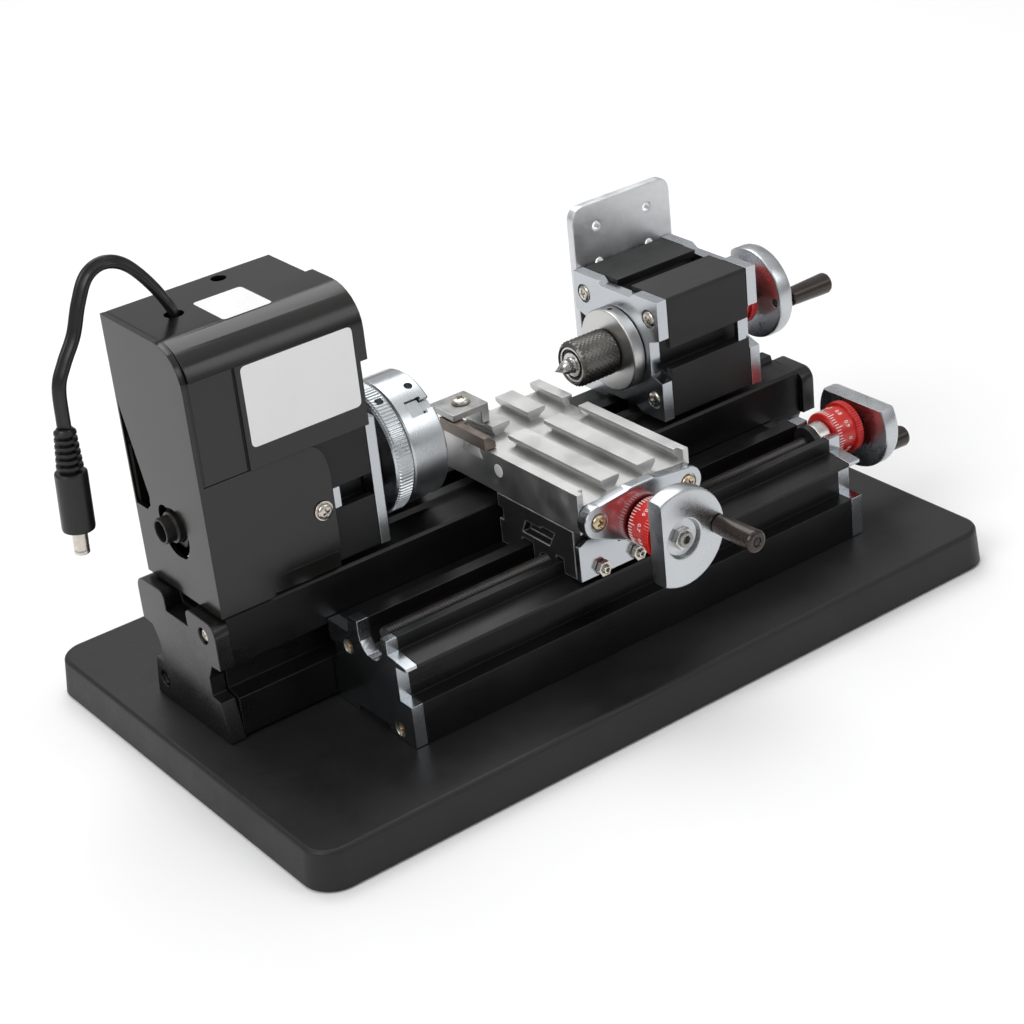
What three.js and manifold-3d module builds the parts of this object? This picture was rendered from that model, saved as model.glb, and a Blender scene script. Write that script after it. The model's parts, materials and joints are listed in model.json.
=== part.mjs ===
// Miniature bench metal lathe: aluminium profile bed, belt-driven headstock with a three-jaw chuck,
// long slide and cross slide on lead screws, and a tailstock with a live centre.
// Millimetres, +Z up. +X runs along the spindle from headstock to tailstock, +Y points to the back.
// The origin is the centre of the base plate's underside.
import * as THREE from 'three';
import { mergeVertices } from 'three/addons/utils/BufferGeometryUtils.js';
import Module from 'manifold-3d';

const wasm = await Module();
wasm.setup();

// ---------------------------------------------------------------- driving dimensions
const gap = 0.3;                    // clearance between neighbouring pieces
const profile = 51.6;               // width of the extruded aluminium sections
const half = profile / 2;
const stockHigh = half - 0.5;       // half height of the headstock and tailstock stock
const spindle = { y: 13, z: 93 };   // spindle and tailstock axis
const slotHalf = 4.3;               // half width of a T-slot mouth
const slotDeep = 7.5;               // depth of a T-slot
const slotWide = 7.4;               // half width of a T-slot behind its lips
const slotLip = 3;                  // thickness of the lips
const base = { x: 320, y: 194, z: 15.3, corner: 12, draft: 1.5 };
const bed = { x: 136.5, bottom: base.z + gap, top: 65.3, rail: 67.3, front: spindle.y - half };
const cap = { x: 142.9, thick: 6.1, halfWide: 27.9 };
const plateThick = 4.8;             // zinc end plates
const head = { right: -64.9, left: -112 };
const tail = { left: 66.1, right: 116.7 };
const slide = { left: -91.4, right: 115.4, front: -64, back: -13.3, top: 55.3 };
const longScrew = { y: -41.5, z: 50.4 };
const cross = { x: 8.5, z: 68.2 };  // cross-slide centre line and its screw height
const table = { front: -65, back: 25, bottom: 70, top: 86, floor: 81.3 };
const saddle = { front: -60.2, back: -14.3, bottom: 49.8, top: 69.7 };
const cover = {
  left: -138.6, right: -69.3, seam: -118.5, top: 168.2, split: 117.6,
  front: -15.9, lowFront: -14.6, back: 38.3, wall: 1.9,
};
const crown = { y: 1, z: 154 };     // centre of the covers' rounded front edge
const coverScrew = { x: -92.1, z: 91.5 };
const topHole = { x: -93.5, y: 33.2, r: 2.9 };
const cableExit = { x: -121, y: 17, r: 3.6 };
const motor = { z: 143, r: 18, left: -112, right: -73 };
const chuck = { r: 24.7, ringR: 25.4, front: -34.8, split: -50, back: -58 };
const wheel = { r: 19.3, thick: 7.4, flat: 9.7, crank: 16 };
const wheelAt = { long: 138.6, tail: 134.6 };   // inner faces of the two hand wheels along X
const shaftOut = 8.6;               // a screw's end beyond the inner face of its hand wheel
const handle = { length: 20.5, r: 4.4 };
const dial = { length: 12.6, r: 10.7, bore: 3.6 };
const screwR = 3;                   // lead screws
const pinR = 1.9;                   // clearance holes of the small screws
const sideMid = 39;                 // height of the bed and slide side slots' middle

// ---------------------------------------------------------------- shape helpers
const TAU = Math.PI * 2;

// the closed triangle mesh of a three.js geometry as a solid, facing outwards
function solid(geometry) {
  const clean = geometry.clone();
  clean.deleteAttribute('normal');
  clean.deleteAttribute('uv');
  const merged = mergeVertices(clean, 1e-4);
  const vertProperties = new Float32Array(merged.attributes.position.array);
  const triVerts = new Uint32Array(merged.index.array);
  const made = new wasm.Manifold(new wasm.Mesh({ numProp: 3, vertProperties, triVerts }));
  if (made.volume() > 0) {
    return made;
  }
  for (let i = 0; i < triVerts.length; i += 3) {
    [triVerts[i], triVerts[i + 1]] = [triVerts[i + 1], triVerts[i]];
  }
  return new wasm.Manifold(new wasm.Mesh({ numProp: 3, vertProperties, triVerts }));
}

// turns local +Z into a world axis, keeping the outline's first and second direction as the
// other two: (y, z) along x, (x, z) along y and (x, y) along z
const turns = {
  x: new THREE.Matrix4().set(0, 0, 1, 0, 1, 0, 0, 0, 0, 1, 0, 0, 0, 0, 0, 1),
  y: new THREE.Matrix4().set(1, 0, 0, 0, 0, 0, -1, 0, 0, 1, 0, 0, 0, 0, 0, 1),
  z: new THREE.Matrix4(),
};

// a flat outline pushed along an axis from one station to another
function prism(axis, outline, from, to) {
  const shape = new THREE.Shape(outline.map(([a, b]) => new THREE.Vector2(a, b)));
  const options = { depth: to - from, bevelEnabled: false, steps: 1 };
  const body = new THREE.ExtrudeGeometry(shape, options);
  body.applyMatrix4(turns[axis]);
  const shift = { x: [from, 0, 0], y: [0, to, 0], z: [0, 0, from] }[axis];
  body.translate(...shift);
  return solid(body);
}

function rectangle(a0, a1, b0, b1) {
  return [[a0, b0], [a1, b0], [a1, b1], [a0, b1]];
}

function box(x0, x1, y0, y1, z0, z1) {
  return prism('z', rectangle(x0, x1, y0, y1), z0, z1);
}

function circle(a, b, r, count = 24) {
  return Array.from({ length: count }, (_, i) => {
    const t = (i / count) * TAU;
    return [a + r * Math.cos(t), b + r * Math.sin(t)];
  });
}

function rod(axis, a, b, r, from, to, count = 24) {
  return prism(axis, circle(a, b, r, count), from, to);
}

// the arc from one angle to another, in degrees, on an ellipse
function arc(a, b, ra, rb, from, to, count = 6) {
  return Array.from({ length: count + 1 }, (_, i) => {
    const t = ((from + ((to - from) * i) / count) * Math.PI) / 180;
    return [a + ra * Math.cos(t), b + rb * Math.sin(t)];
  });
}

function roundedRectangle(a0, a1, b0, b1, r, count = 5) {
  return [
    ...arc(a1 - r, b0 + r, r, r, -90, 0, count),
    ...arc(a1 - r, b1 - r, r, r, 0, 90, count),
    ...arc(a0 + r, b1 - r, r, r, 90, 180, count),
    ...arc(a0 + r, b0 + r, r, r, 180, 270, count),
  ];
}

// a profile of [station, radius] points spun about an axis through (a, b)
function spun(axis, a, b, points, count = 24) {
  const line = points.map(([station, r]) => new THREE.Vector2(r, station));
  const body = new THREE.LatheGeometry(line, count);
  body.rotateX(Math.PI / 2);
  body.applyMatrix4(turns[axis]);
  if (axis === 'y') {
    body.scale(1, -1, 1);
  }
  const shift = { x: [0, a, b], y: [a, 0, b], z: [a, b, 0] }[axis];
  body.translate(...shift);
  return solid(body);
}

function ring(axis, a, b, outer, inner, from, to, count = 24) {
  const hole = rod(axis, a, b, inner, from - 1, to + 1, count);
  return rod(axis, a, b, outer, from, to, count).subtract(hole);
}

const lathe = new THREE.Group();

function piece(name, made, colour, roughness, metalness = 0) {
  const mesh = made.getMesh();
  const geometry = new THREE.BufferGeometry();
  const points = new Float32Array(mesh.vertProperties);
  geometry.setAttribute('position', new THREE.BufferAttribute(points, 3));
  geometry.setIndex(new THREE.BufferAttribute(new Uint32Array(mesh.triVerts), 1));
  geometry.computeVertexNormals();
  const material = new THREE.MeshStandardMaterial({ color: colour, roughness, metalness });
  const part = new THREE.Mesh(geometry, material);
  part.name = name;
  lathe.add(part);
}

const colours = {
  anodised: [0x1c1d1d, 0.45, 0.4],
  plastic: [0x2b2b2a, 0.55, 0],
  tray: [0x3a3a3a, 0.7, 0],
  zinc: [0xc9cbcc, 0.35, 0.9],
  aluminium: [0xd8dadb, 0.4, 0.9],
  steel: [0xb9b7b2, 0.3, 1],
  black: [0x18181a, 0.5, 0.5],
  red: [0xc4231f, 0.4, 0],
  brown: [0x2f2522, 0.45, 0],
  tool: [0x6b5c50, 0.45, 0.8],
  rubber: [0x1a1a1a, 0.8, 0],
};

function add(name, made, finish) {
  piece(name, made, ...colours[finish]);
}

// ---------------------------------------------------------------- extruded sections
// one T-slot cut, mouth at the section's edge; direction turns it to the section's four sides
function slotCut(direction, a, b) {
  const outline = [
    [-slotHalf, 1], [slotHalf, 1], [slotHalf, -slotLip], [slotWide, -slotLip],
    [slotWide - 2, -slotDeep], [2 - slotWide, -slotDeep], [-slotWide, -slotLip],
    [-slotHalf, -slotLip],
  ];
  const turned = {
    up: ([s, d]) => [a + s, b + d],
    down: ([s, d]) => [a - s, b - d],
    front: ([s, d]) => [a - d, b + s],
    back: ([s, d]) => [a + d, b - s],
  };
  return outline.map(turned[direction]);
}

// the square stock of headstock and tailstock, with a T-slot on top, front and back
function stock(from, to, boreR) {
  const { y, z } = spindle;
  const outline = roundedRectangle(y - half, y + half, z - stockHigh, z + stockHigh, 1, 2);
  let made = prism('x', outline, from, to);
  made = made.subtract(prism('x', slotCut('up', y, z + stockHigh), from - 1, to + 1));
  made = made.subtract(prism('x', slotCut('front', y - half, z), from - 1, to + 1));
  made = made.subtract(prism('x', slotCut('back', y + half, z), from - 1, to + 1));
  return made.subtract(rod('x', y, z, boreR, from - 1, to + 1));
}

// the zinc plate that closes the square stock: notched sides, raised lands on top and bottom
function stockPlate(from, to, boreR, notch) {
  const { y, z } = spindle;
  const land = 1.9;
  const side = notch > 0 ? [[half - notch, -7], [half, -7 - notch / 3]] : [];
  const right = [
    ...side, [half, -stockHigh], [half - 14, -stockHigh],
    [half - 17, land - stockHigh], [0, land - stockHigh],
  ];
  const upper = right.map(([a, b]) => [a, -b]);
  const rightSide = [...right.slice().reverse(), ...upper];
  const leftSide = rightSide.slice(1, -1).reverse().map(([a, b]) => [-a, b]);
  const outline = [...rightSide, ...leftSide].map(([a, b]) => [y + a, z + b]);
  return prism('x', outline, from, to).subtract(rod('x', y, z, boreR, from - 1, to + 1));
}

// ---------------------------------------------------------------- base and bed
function basePlate() {
  const low = roundedRectangle(-base.x / 2, base.x / 2, -base.y / 2, base.y / 2, base.corner, 6);
  const edge = 1;
  const shrink = (inset) => low.map(([a, b]) => [
    a * (1 - (2 * inset) / base.x),
    b * (1 - (2 * inset) / base.y),
  ]);
  const { draft } = base;
  const levels = [[low, 0], [shrink(draft), base.z - edge], [shrink(draft + edge), base.z]];
  const n = low.length;
  const points = [];
  for (const [outline, z] of levels) {
    for (const [a, b] of outline) {
      points.push(a, b, z);
    }
  }
  points.push(0, 0, 0, 0, 0, base.z);
  const index = [];
  for (let i = 0; i < n; i += 1) {
    const j = (i + 1) % n;
    for (let level = 0; level < 2; level += 1) {
      const low0 = level * n;
      const high0 = low0 + n;
      index.push(low0 + i, low0 + j, high0 + j, low0 + i, high0 + j, high0 + i);
    }
    index.push(3 * n, j, i);
    index.push(3 * n + 1, 2 * n + i, 2 * n + j);
  }
  const body = new THREE.BufferGeometry();
  body.setAttribute('position', new THREE.Float32BufferAttribute(points, 3));
  body.setIndex(index);
  return solid(body);
}

// bed section: side slots, and a T-slot between two low rails on top
function bedProfile() {
  const { y } = spindle;
  const railOut = 9.5;
  const right = [
    [0, bed.bottom], [half - 1, bed.bottom], [half, bed.bottom + 1], [half, sideMid - 7],
    [half - 7, sideMid - 5.5], [half - 7, sideMid + 5.5], [half, sideMid + 7],
    [half, bed.top - 1], [half - 1, bed.top], [railOut + 1, bed.top], [railOut, bed.rail],
    [0, bed.rail],
  ];
  const left = right.slice(1, -1).reverse().map(([a, b]) => [-a, b]);
  const outline = [...right, ...left].map(([a, b]) => [y + a, b]);
  let made = prism('x', outline, -bed.x, bed.x);
  made = made.subtract(prism('x', slotCut('up', y, bed.rail), -bed.x - 1, bed.x + 1));
  for (const side of [-1, 1]) {
    made = made.subtract(rod('x', y + side * 11, 26.5, 5.5, -bed.x - 1, bed.x + 1, 16));
  }
  return made.subtract(rod('x', y, 44, 8, -bed.x - 1, bed.x + 1, 20));
}

const capHoles = [[spindle.y - 19, 58], [spindle.y + 19, 24]];
const capHoleR = 3.3;

function bedCap(from, to) {
  const { y } = spindle;
  const notch = 7.8;
  const right = [
    [0, 57.6], [notch, 57.6], [notch, 62], ...arc(notch + 3.2, 62, 3.2, 3.2, 180, 90, 4),
    ...arc(cap.halfWide - 5, 60, 5, 5, 90, 0, 5), [cap.halfWide, 46.8], [21.5, 46.3], [18, 40],
    [18, 32.5], [23.5, 31.6], [26.6, bed.bottom], [0, bed.bottom],
  ];
  const left = right.slice(1, -1).reverse().map(([a, b]) => [-a, b]);
  let made = prism('x', [...right, ...left].map(([a, b]) => [y + a, b]), from, to);
  for (const [a, b] of capHoles) {
    made = made.subtract(rod('x', a, b, capHoleR, from - 1, to + 1, 16));
  }
  return made;
}

add('base_plate', basePlate(), 'tray');
add('bed_profile', bedProfile(), 'anodised');
add('bed_end_cap_left', bedCap(-cap.x, cap.thick - cap.x), 'plastic');
add('bed_end_cap_right', bedCap(cap.x - cap.thick, cap.x), 'plastic');

// ---------------------------------------------------------------- long slide
const channelR = 7.4;               // round channel that the long screw lies in

// back rail, shoulder and side slots are common to the slide's section and its end plates
function slideOutline(noseTop) {
  const { front, back, top } = slide;
  const { y, z } = longScrew;
  return [
    [front, base.z + gap], [front, sideMid - 6.6], [front + 7, sideMid - 6.6], [front + 7, sideMid + 7.2],
    [front + 0.6, sideMid + 7.6], [front + 0.6, sideMid + 9], [y - 11, noseTop], [y - 11, top - 0.5],
    [y - channelR, top - 0.5], ...arc(y, z, channelR, channelR, 180, 360, 8),
    [y + channelR, top],
    [y + 13.1, top], [y + 14.6, sideMid + 9.3], [back, sideMid + 9.3], [back, sideMid + 1.2],
    [back - 2.8, sideMid + 0.8], [back - 2.8, sideMid - 7.4], [back, sideMid - 7.4], [back, base.z + gap],
  ];
}

function slideProfile() {
  const made = prism('x', slideOutline(sideMid + 10.3), slide.left, slide.right);
  return made.subtract(rod('x', longScrew.y, 28, 8.5, slide.left - 1, slide.right + 1, 20));
}

const slidePlates = {
  left: [slide.left - gap - plateThick, slide.left - gap],
  right: [slide.right + gap, slide.right + gap + 5.5],
};

function slidePlate([from, to]) {
  const foot = box(from - 1, to + 1, longScrew.y - 6, longScrew.y + 14.6, 0, base.z + 2.8);
  return prism('x', slideOutline(sideMid + 10.3), from, to).subtract(foot);
}

add('long_slide_profile', slideProfile(), 'anodised');
add('long_slide_plate_left', slidePlate(slidePlates.left), 'zinc');
add('long_slide_plate_right', slidePlate(slidePlates.right), 'zinc');

// ---------------------------------------------------------------- headstock
const bearing = { outer: 12, inner: 6.3, thick: 6 };
const shaftR = 6;
const shaftTipR = 4.9;               // the shaft's end outside the cover
const pulleyX = { left: -131, right: -121 };
const motorPlate = { left: head.left - gap - 3, right: head.left - gap };

const frontPlate = head.right - 4.2;

add('headstock_block', stock(head.left, frontPlate - gap, bearing.outer + gap), 'anodised');
add('headstock_front_plate', stockPlate(frontPlate, head.right, 9, 0), 'zinc');

// rear plate: closes the block and carries the motor above it
function motorPlateBody() {
  const { y, z } = spindle;
  const { left, right } = motorPlate;
  const outline = roundedRectangle(y - 22, y + 22, z - 24, motor.z + 20, 6);
  let made = prism('x', outline, left, right);
  made = made.subtract(rod('x', y, z, shaftR + 1.5, left - 1, right + 1));
  return made.subtract(rod('x', y, motor.z, 3, left - 1, right + 1, 20));
}

add('motor_plate', motorPlateBody(), 'zinc');
for (const [name, at] of [['front', -76.5], ['rear', -108]]) {
  const { outer, inner, thick } = bearing;
  const made = ring('x', spindle.y, spindle.z, outer, inner, at, at + thick);
  add(`spindle_bearing_${name}`, made, 'steel');
}

// side view of the covers' outer surface, (y, z)
function coverOutline(front, bottom, inset = 0) {
  const { back, top } = cover;
  return [
    [front + inset, bottom], [back - inset, bottom], [back - inset, top - inset],
    ...arc(crown.y, crown.z, crown.y - front - inset, top - crown.z - inset, 90, 180, 8),
  ];
}

function beltCover() {
  const { left, split, lowFront, back, wall } = cover;
  const bottom = bed.top + 1;
  const inner = left + 1.8;
  let made = prism('x', coverOutline(lowFront, bottom), left, inner);
  // opening round the spindle's end: a circle and two ears, each [y, z, radius]
  for (const [y, z, r] of [[10, 92, 9.6], [15.7, 96.1, 4.9], [7.1, 87.6, 4.9]]) {
    made = made.subtract(rod('x', y, z, r, left - 1, inner + 1, 28));
  }
  // grip opening beside the back edge, which keeps a thin lip
  const lip = back - 0.9;
  const grip = [[lip, 135], [back - 12.5, 101], [back - 12, 97], [back - 9, 94.5], [lip, 94.5]];
  made = made.subtract(prism('x', grip, left - 1, inner + 1));
  // front wall with a stepped foot and a rounded upper corner
  const step = [-116, 73.8];
  const right = -87;
  const frontWall = [
    [inner - 0.5, bottom], [step[0], bottom], [step[0], step[1]], [right, step[1]],
    ...arc(right - 7, 103, 7, split - gap - 103, 0, 90, 6), [inner - 0.5, split - gap],
  ];
  let wallBody = prism('y', frontWall, lowFront, lowFront + 1.5);
  const { x: screwX, z: screwZ } = coverScrew;
  wallBody = wallBody.subtract(rod('y', screwX, screwZ, 2.2, lowFront - 1, lowFront + 3, 16));
  const backWall = box(inner - 0.5, motorPlate.left - gap, back - wall, back, bottom, split - gap);
  return made.add(wallBody).add(backWall);
}

function motorCover() {
  const { left, right, seam, top, split, front, lowFront, back, wall } = cover;
  const start = left + 2.5;
  const hollow = coverOutline(front + 1.3, split - 1, wall - 0.5);
  let made = prism('x', coverOutline(front, split), start, right);
  made = made.subtract(prism('x', hollow, start - 1, right - 2));
  // the block stands under the back and right walls
  const blockFront = spindle.y - half - gap;
  const blockTop = spindle.z + stockHigh + gap;
  made = made.subtract(box(head.left - 6, right + 1, blockFront, back + 1, split - 1, blockTop));
  // set-back panel in front of the belt
  const crease = 156.7;
  made = made.subtract(box(start - 1, seam, front - 1, lowFront, split - 1, crease));
  // rim round the front and top of the chuck end
  let rim = prism('x', coverOutline(front, split), right - 1, right + 3);
  rim = rim.subtract(prism('x', coverOutline(front, split - 1, 2.2), right - 2, right + 4));
  rim = rim.intersect(box(right - 2, right + 4, front - 1, 13.5, 142, top + 1));
  made = made.add(rim);
  for (const { x, y, r } of [cableExit, topHole]) {
    made = made.subtract(rod('z', x, y, r, top - 4, top + 1, 20));
  }
  return made;
}

add('belt_cover', beltCover(), 'plastic');
add('motor_cover', motorCover(), 'plastic');
add('cover_screw', spun('y', coverScrew.x, coverScrew.z, [
  [cover.lowFront - 2.4, 0], [cover.lowFront - 2.4, 2.8], [cover.lowFront - 1.6, 3.8],
  [cover.lowFront - gap, 3.8], [cover.lowFront - gap, 1.7], [cover.lowFront + 6, 1.7],
  [cover.lowFront + 6, 0],
], 20), 'steel');

// motor can with end boss, lying above the spindle
add('motor_body', spun('x', spindle.y, motor.z, [
  [motor.left, 0], [motor.left, motor.r - 1], [motor.left + 1, motor.r], [motor.right - 2, motor.r],
  [motor.right, motor.r - 2], [motor.right, 0],
]).subtract(rod('x', spindle.y, motor.z, 2.3, motor.left - 1, motor.left + 8, 16)), 'steel');

// a grooved pulley's rim between the profile points that lead to it and away from it
function pulley(axisZ, { rim, groove }, before, after) {
  const { left, right } = pulleyX;
  const lip = 1.6;
  return spun('x', spindle.y, axisZ, [
    ...before, [left, rim], [left + lip, rim], [left + lip, groove],
    [right - lip, groove], [right - lip, rim], [right, rim], ...after,
  ]);
}

const motorPulley = { rim: 6.6, groove: 4.6 };
const spindlePulley = { rim: 17, groove: 14.5 };
const motorShaft = { r: 1.6, end: motor.left + 6 };
add('motor_pulley', pulley(motor.z, motorPulley, [[pulleyX.left, 0]], [
  [pulleyX.right, motorShaft.r], [motorShaft.end, motorShaft.r], [motorShaft.end, 0],
]), 'black');
const pulleyBore = [pulleyX.right, shaftR + gap];
add('spindle_pulley', pulley(spindle.z, spindlePulley, [
  pulleyBore, [pulleyX.left, shaftR + gap],
], [pulleyBore]), 'black');

// flat belt: the outer tangent loop of two circles, less the inner one
function beltLoop(extra) {
  const low = spindlePulley.groove + extra;
  const high = motorPulley.groove + extra;
  const tilt = (Math.asin((low - high) / (motor.z - spindle.z)) * 180) / Math.PI;
  return [
    ...arc(spindle.y, motor.z, high, high, tilt, 180 - tilt, 10),
    ...arc(spindle.y, spindle.z, low, low, 180 - tilt, 360 + tilt, 20),
  ];
}

const beltX = { from: pulleyX.left + 2.2, to: pulleyX.right - 2.2 };
add('drive_belt', prism('x', beltLoop(1.5), beltX.from, beltX.to)
  .subtract(prism('x', beltLoop(gap), beltX.from - 1, beltX.to + 1)), 'rubber');

// hollow spindle with its nose flange
const spindleBore = 3.9;
add('spindle_shaft', spun('x', spindle.y, spindle.z, [
  [-cap.x, spindleBore], [-cap.x, shaftTipR], [cover.left, shaftTipR], [cover.left, shaftR],
  [head.right + 1.5, shaftR], [head.right + 1.5, 15],
  [chuck.back - gap, 15], [chuck.back - gap, 9], [chuck.split - gap, 9],
  [chuck.split - gap, spindleBore], [-cap.x, spindleBore],
]), 'black');

// ---------------------------------------------------------------- three-jaw chuck
const jawAngles = [134, 254, 14];
const jawWide = 3.2;                // half width of a jaw's tongue
const jawNeck = 1.9;                // half width of a jaw outside the body
const jawBack = -45;
const pinionR = 1.6;                // holes for the tightening pins

// a box along the jaw's radial direction, angle measured in the (y, z) plane
function radialBox(angle, from, to, halfWide, x0, x1) {
  const made = box(x0, x1, from, to, -halfWide, halfWide);
  return made.rotate([angle, 0, 0]).translate([0, spindle.y, spindle.z]);
}

function chuckBody() {
  const { y, z } = spindle;
  let made = spun('x', y, z, [
    [chuck.split, 8], [chuck.split, chuck.r], [chuck.front - 0.8, chuck.r],
    [chuck.front, chuck.r - 0.8], [chuck.front, 8], [chuck.split, 8],
  ], 36);
  for (const angle of jawAngles) {
    made = made.subtract(radialBox(angle, 6, 30, jawWide + gap, jawBack - gap, -38.4));
    made = made.subtract(radialBox(angle, 6, 30, jawNeck + gap, -39, chuck.front + 1));
  }
  const hole = rod('z', -39.6, 0, pinionR, 18, 30, 12).rotate([25, 0, 0]).translate([0, y, z]);
  return made.subtract(hole);
}

// knurled ring: straight axial ridges on its rim
function scrollRing() {
  const { y, z } = spindle;
  const ridges = 48;
  const outline = Array.from({ length: ridges * 2 }, (_, i) => {
    const r = i % 2 ? chuck.ringR : chuck.ringR - 0.7;
    const t = (i / (ridges * 2)) * TAU;
    return [y + r * Math.cos(t), z + r * Math.sin(t)];
  });
  let made = prism('x', outline, chuck.back, chuck.split - gap);
  made = made.subtract(rod('x', y, z, 9 + gap, chuck.back - 1, chuck.split + 1));
  const hole = rod('z', -53.6, 0, pinionR, 18, 30, 12).rotate([30, 0, 0]).translate([0, y, z]);
  return made.subtract(hole);
}

function jaw(angle) {
  let made = radialBox(angle, 12.5, 22.5, jawWide, jawBack, -38.7);
  made = made.add(radialBox(angle, 12.5, 22.5, jawNeck, -39.5, chuck.front));
  made = made.add(radialBox(angle, 8.5, 19, jawNeck, -37, chuck.front + 2));
  return made.add(radialBox(angle, 8.5, 13, jawNeck, -37, chuck.front + 4));
}

add('chuck_body', chuckBody(), 'steel');
add('chuck_scroll_ring', scrollRing(), 'steel');
jawAngles.forEach((angle, i) => add(`chuck_jaw_${i + 1}`, jaw(angle), 'steel'));

// ---------------------------------------------------------------- hand wheels, dials and screws
// Each is built along +X from x = 0, then turned to its own axis.
const crankPinR = 1.5;

// a disc with one flat on its rim, opposite the crank pin
function wheelBody() {
  const { r, thick, flat, crank: throwR } = wheel;
  let made = spun('x', 0, 0, [
    [0, screwR + gap], [0, r - 1], [1, r], [thick - 1.6, r], [thick, r - 1.6],
    [thick, 10], [thick - 1.4, 9.2], [thick - 1.4, screwR + gap], [0, screwR + gap],
  ], 30);
  made = made.subtract(box(-1, thick + 1, flat, r + 1, -r - 1, r + 1));
  return made.subtract(rod('x', -throwR, 0, crankPinR + gap, -1, thick + 1, 16));
}

function handleBody() {
  const start = wheel.thick + gap;
  const { length, r } = handle;
  return spun('x', -wheel.crank, 0, [
    [1, 0], [1, crankPinR], [start, crankPinR], [start, r - 0.6], [start + length - 1, r],
    [start + length, r - 1], [start + length, 0],
  ], 16);
}

function dialBody() {
  return spun('x', 0, 0, [
    [0, dial.bore], [0, dial.r - 1.9], [dial.length - 3, dial.r - 1.2], [dial.length - 3, dial.r],
    [dial.length, dial.r], [dial.length, dial.bore], [0, dial.bore],
  ]);
}

// moves a part made along +X to a screw's own axis
const placed = {
  long: (made, at) => made.rotate([90, 0, 0]).translate([at, longScrew.y, longScrew.z]),
  tail: (made, at) => made.translate([at, spindle.y, spindle.z]),
  cross: (made, at) => made.rotate([180, 0, -90]).translate([cross.x, at, cross.z]),
};

function crank(kind, dialFrom, wheelFrom) {
  add(`${kind}_dial`, placed[kind](dialBody(), dialFrom), 'red');
  add(`${kind}_handwheel`, placed[kind](wheelBody(), wheelFrom), 'zinc');
  add(`${kind}_handle`, placed[kind](handleBody(), wheelFrom), 'brown');
}

// the long screw has a bearing collar that lies in the notch of the right plate
const longPlateFace = slidePlates.right[1];
const longEnd = wheelAt.long + shaftOut;
const collarR = 6.8;
crank('long', longPlateFace + 1.2, wheelAt.long);
add('long_leadscrew', spun('x', longScrew.y, longScrew.z, [
  [slide.left + 1, 0], [slide.left + 1, screwR], [slide.right - 3, screwR],
  [slide.right - 3, collarR], [longPlateFace + 0.6, collarR], [longPlateFace + 0.6, screwR],
  [longEnd, screwR], [longEnd, 0],
]), 'steel');

// ---------------------------------------------------------------- saddle and cross slide
const slideHalf = 26;               // half width of saddle and table
const railHalf = 9;                 // dovetail rail between saddle and table
const railHigh = 73;

function saddleBody() {
  const { front, back, bottom, top } = saddle;
  const { y } = longScrew;
  const edge = 0.4;
  const x0 = cross.x - slideHalf;
  const x1 = cross.x + slideHalf;
  const step = slide.top + edge;
  const bossR = channelR - edge;
  const outline = [
    [front, bottom], [y - 11.4, bottom], [y - 11.4, step], [y - bossR, step],
    ...arc(y, longScrew.z, bossR, bossR, 180, 360, 8), [y + bossR, step], [y + 13.6, step],
    [y + 15.1, sideMid + 9.7], [back, sideMid + 9.7], [back, top], [front, top],
  ];
  let made = prism('x', outline, x0, x1);
  // undercut pocket and rear notch in both side faces
  const pocket = [
    [back - 17, 63.8], [back - 14.3, 58.4], [back - 30.7, 58.4], [back - 34.4, 64.8],
    [back - 27, 64.8], [back - 26, 63.8],
  ];
  for (const [a, b] of [[x0 - 1, x0 + 3.5], [x1 - 3.5, x1 + 1]]) {
    made = made.subtract(prism('x', pocket, a, b));
    made = made.subtract(box(a, b, back - 2.6, back + 1, 59, 64.2));
  }
  made = made.subtract(rod('x', y, longScrew.z, screwR + gap + 0.1, x0 - 1, x1 + 1));
  const dovetail = [
    [cross.x - railHalf + 2, top - 1], [cross.x + railHalf - 2, top - 1],
    [cross.x + railHalf, railHigh], [cross.x - railHalf, railHigh],
  ];
  made = made.add(prism('y', dovetail, front, back));
  const channel = rectangle(cross.x - 4.2, cross.x + 4.2, cross.z - 4.2, railHigh + 1);
  made = made.subtract(prism('y', channel, front - 1, back + 1));
  const nut = box(cross.x - 4.6, cross.x + 4.6, front + 2, front + 9, cross.z - 4.6, railHigh - 0.6);
  return made.add(nut.subtract(rod('y', cross.x, cross.z, screwR + gap, front, front + 10)));
}

const gib = { xs: [cross.x - 16.5, cross.x], z: 52.6, face: saddle.front - gap - 2.6 };

function saddleFrontPlate() {
  const { front, bottom, top } = saddle;
  const right = cross.x + slideHalf;
  const left = cross.x - slideHalf;
  const outline = [
    [left, bottom - 0.2], [right, bottom - 0.2], [right, top - 4],
    [cross.x + 8, top - 4], [cross.x + 8, top - 9.8], [cross.x - 8, top - 9.8],
    [cross.x - 8, top - 4], [left + 4, top - 4], [left, top - 6],
  ];
  let made = prism('y', outline, gib.face, front - gap);
  for (const x of gib.xs) {
    made = made.subtract(rod('y', x, gib.z, pinR, front - 5, front + 1, 16));
  }
  return made;
}

// hex nut with its set screw
function gibScrew(x) {
  const face = gib.face - gap;
  const nut = prism('y', circle(x, gib.z, 3.2, 6), face - 2.2, face);
  const stud = rod('y', x, gib.z, pinR - gap, face - 3.4, face + 2.7, 16);
  return nut.add(stud);
}

add('saddle', saddleBody(), 'anodised');
add('saddle_front_plate', saddleFrontPlate(), 'zinc');
gib.xs.forEach((x, i) => add(`gib_screw_${i + 1}`, gibScrew(x), 'steel'));

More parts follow.
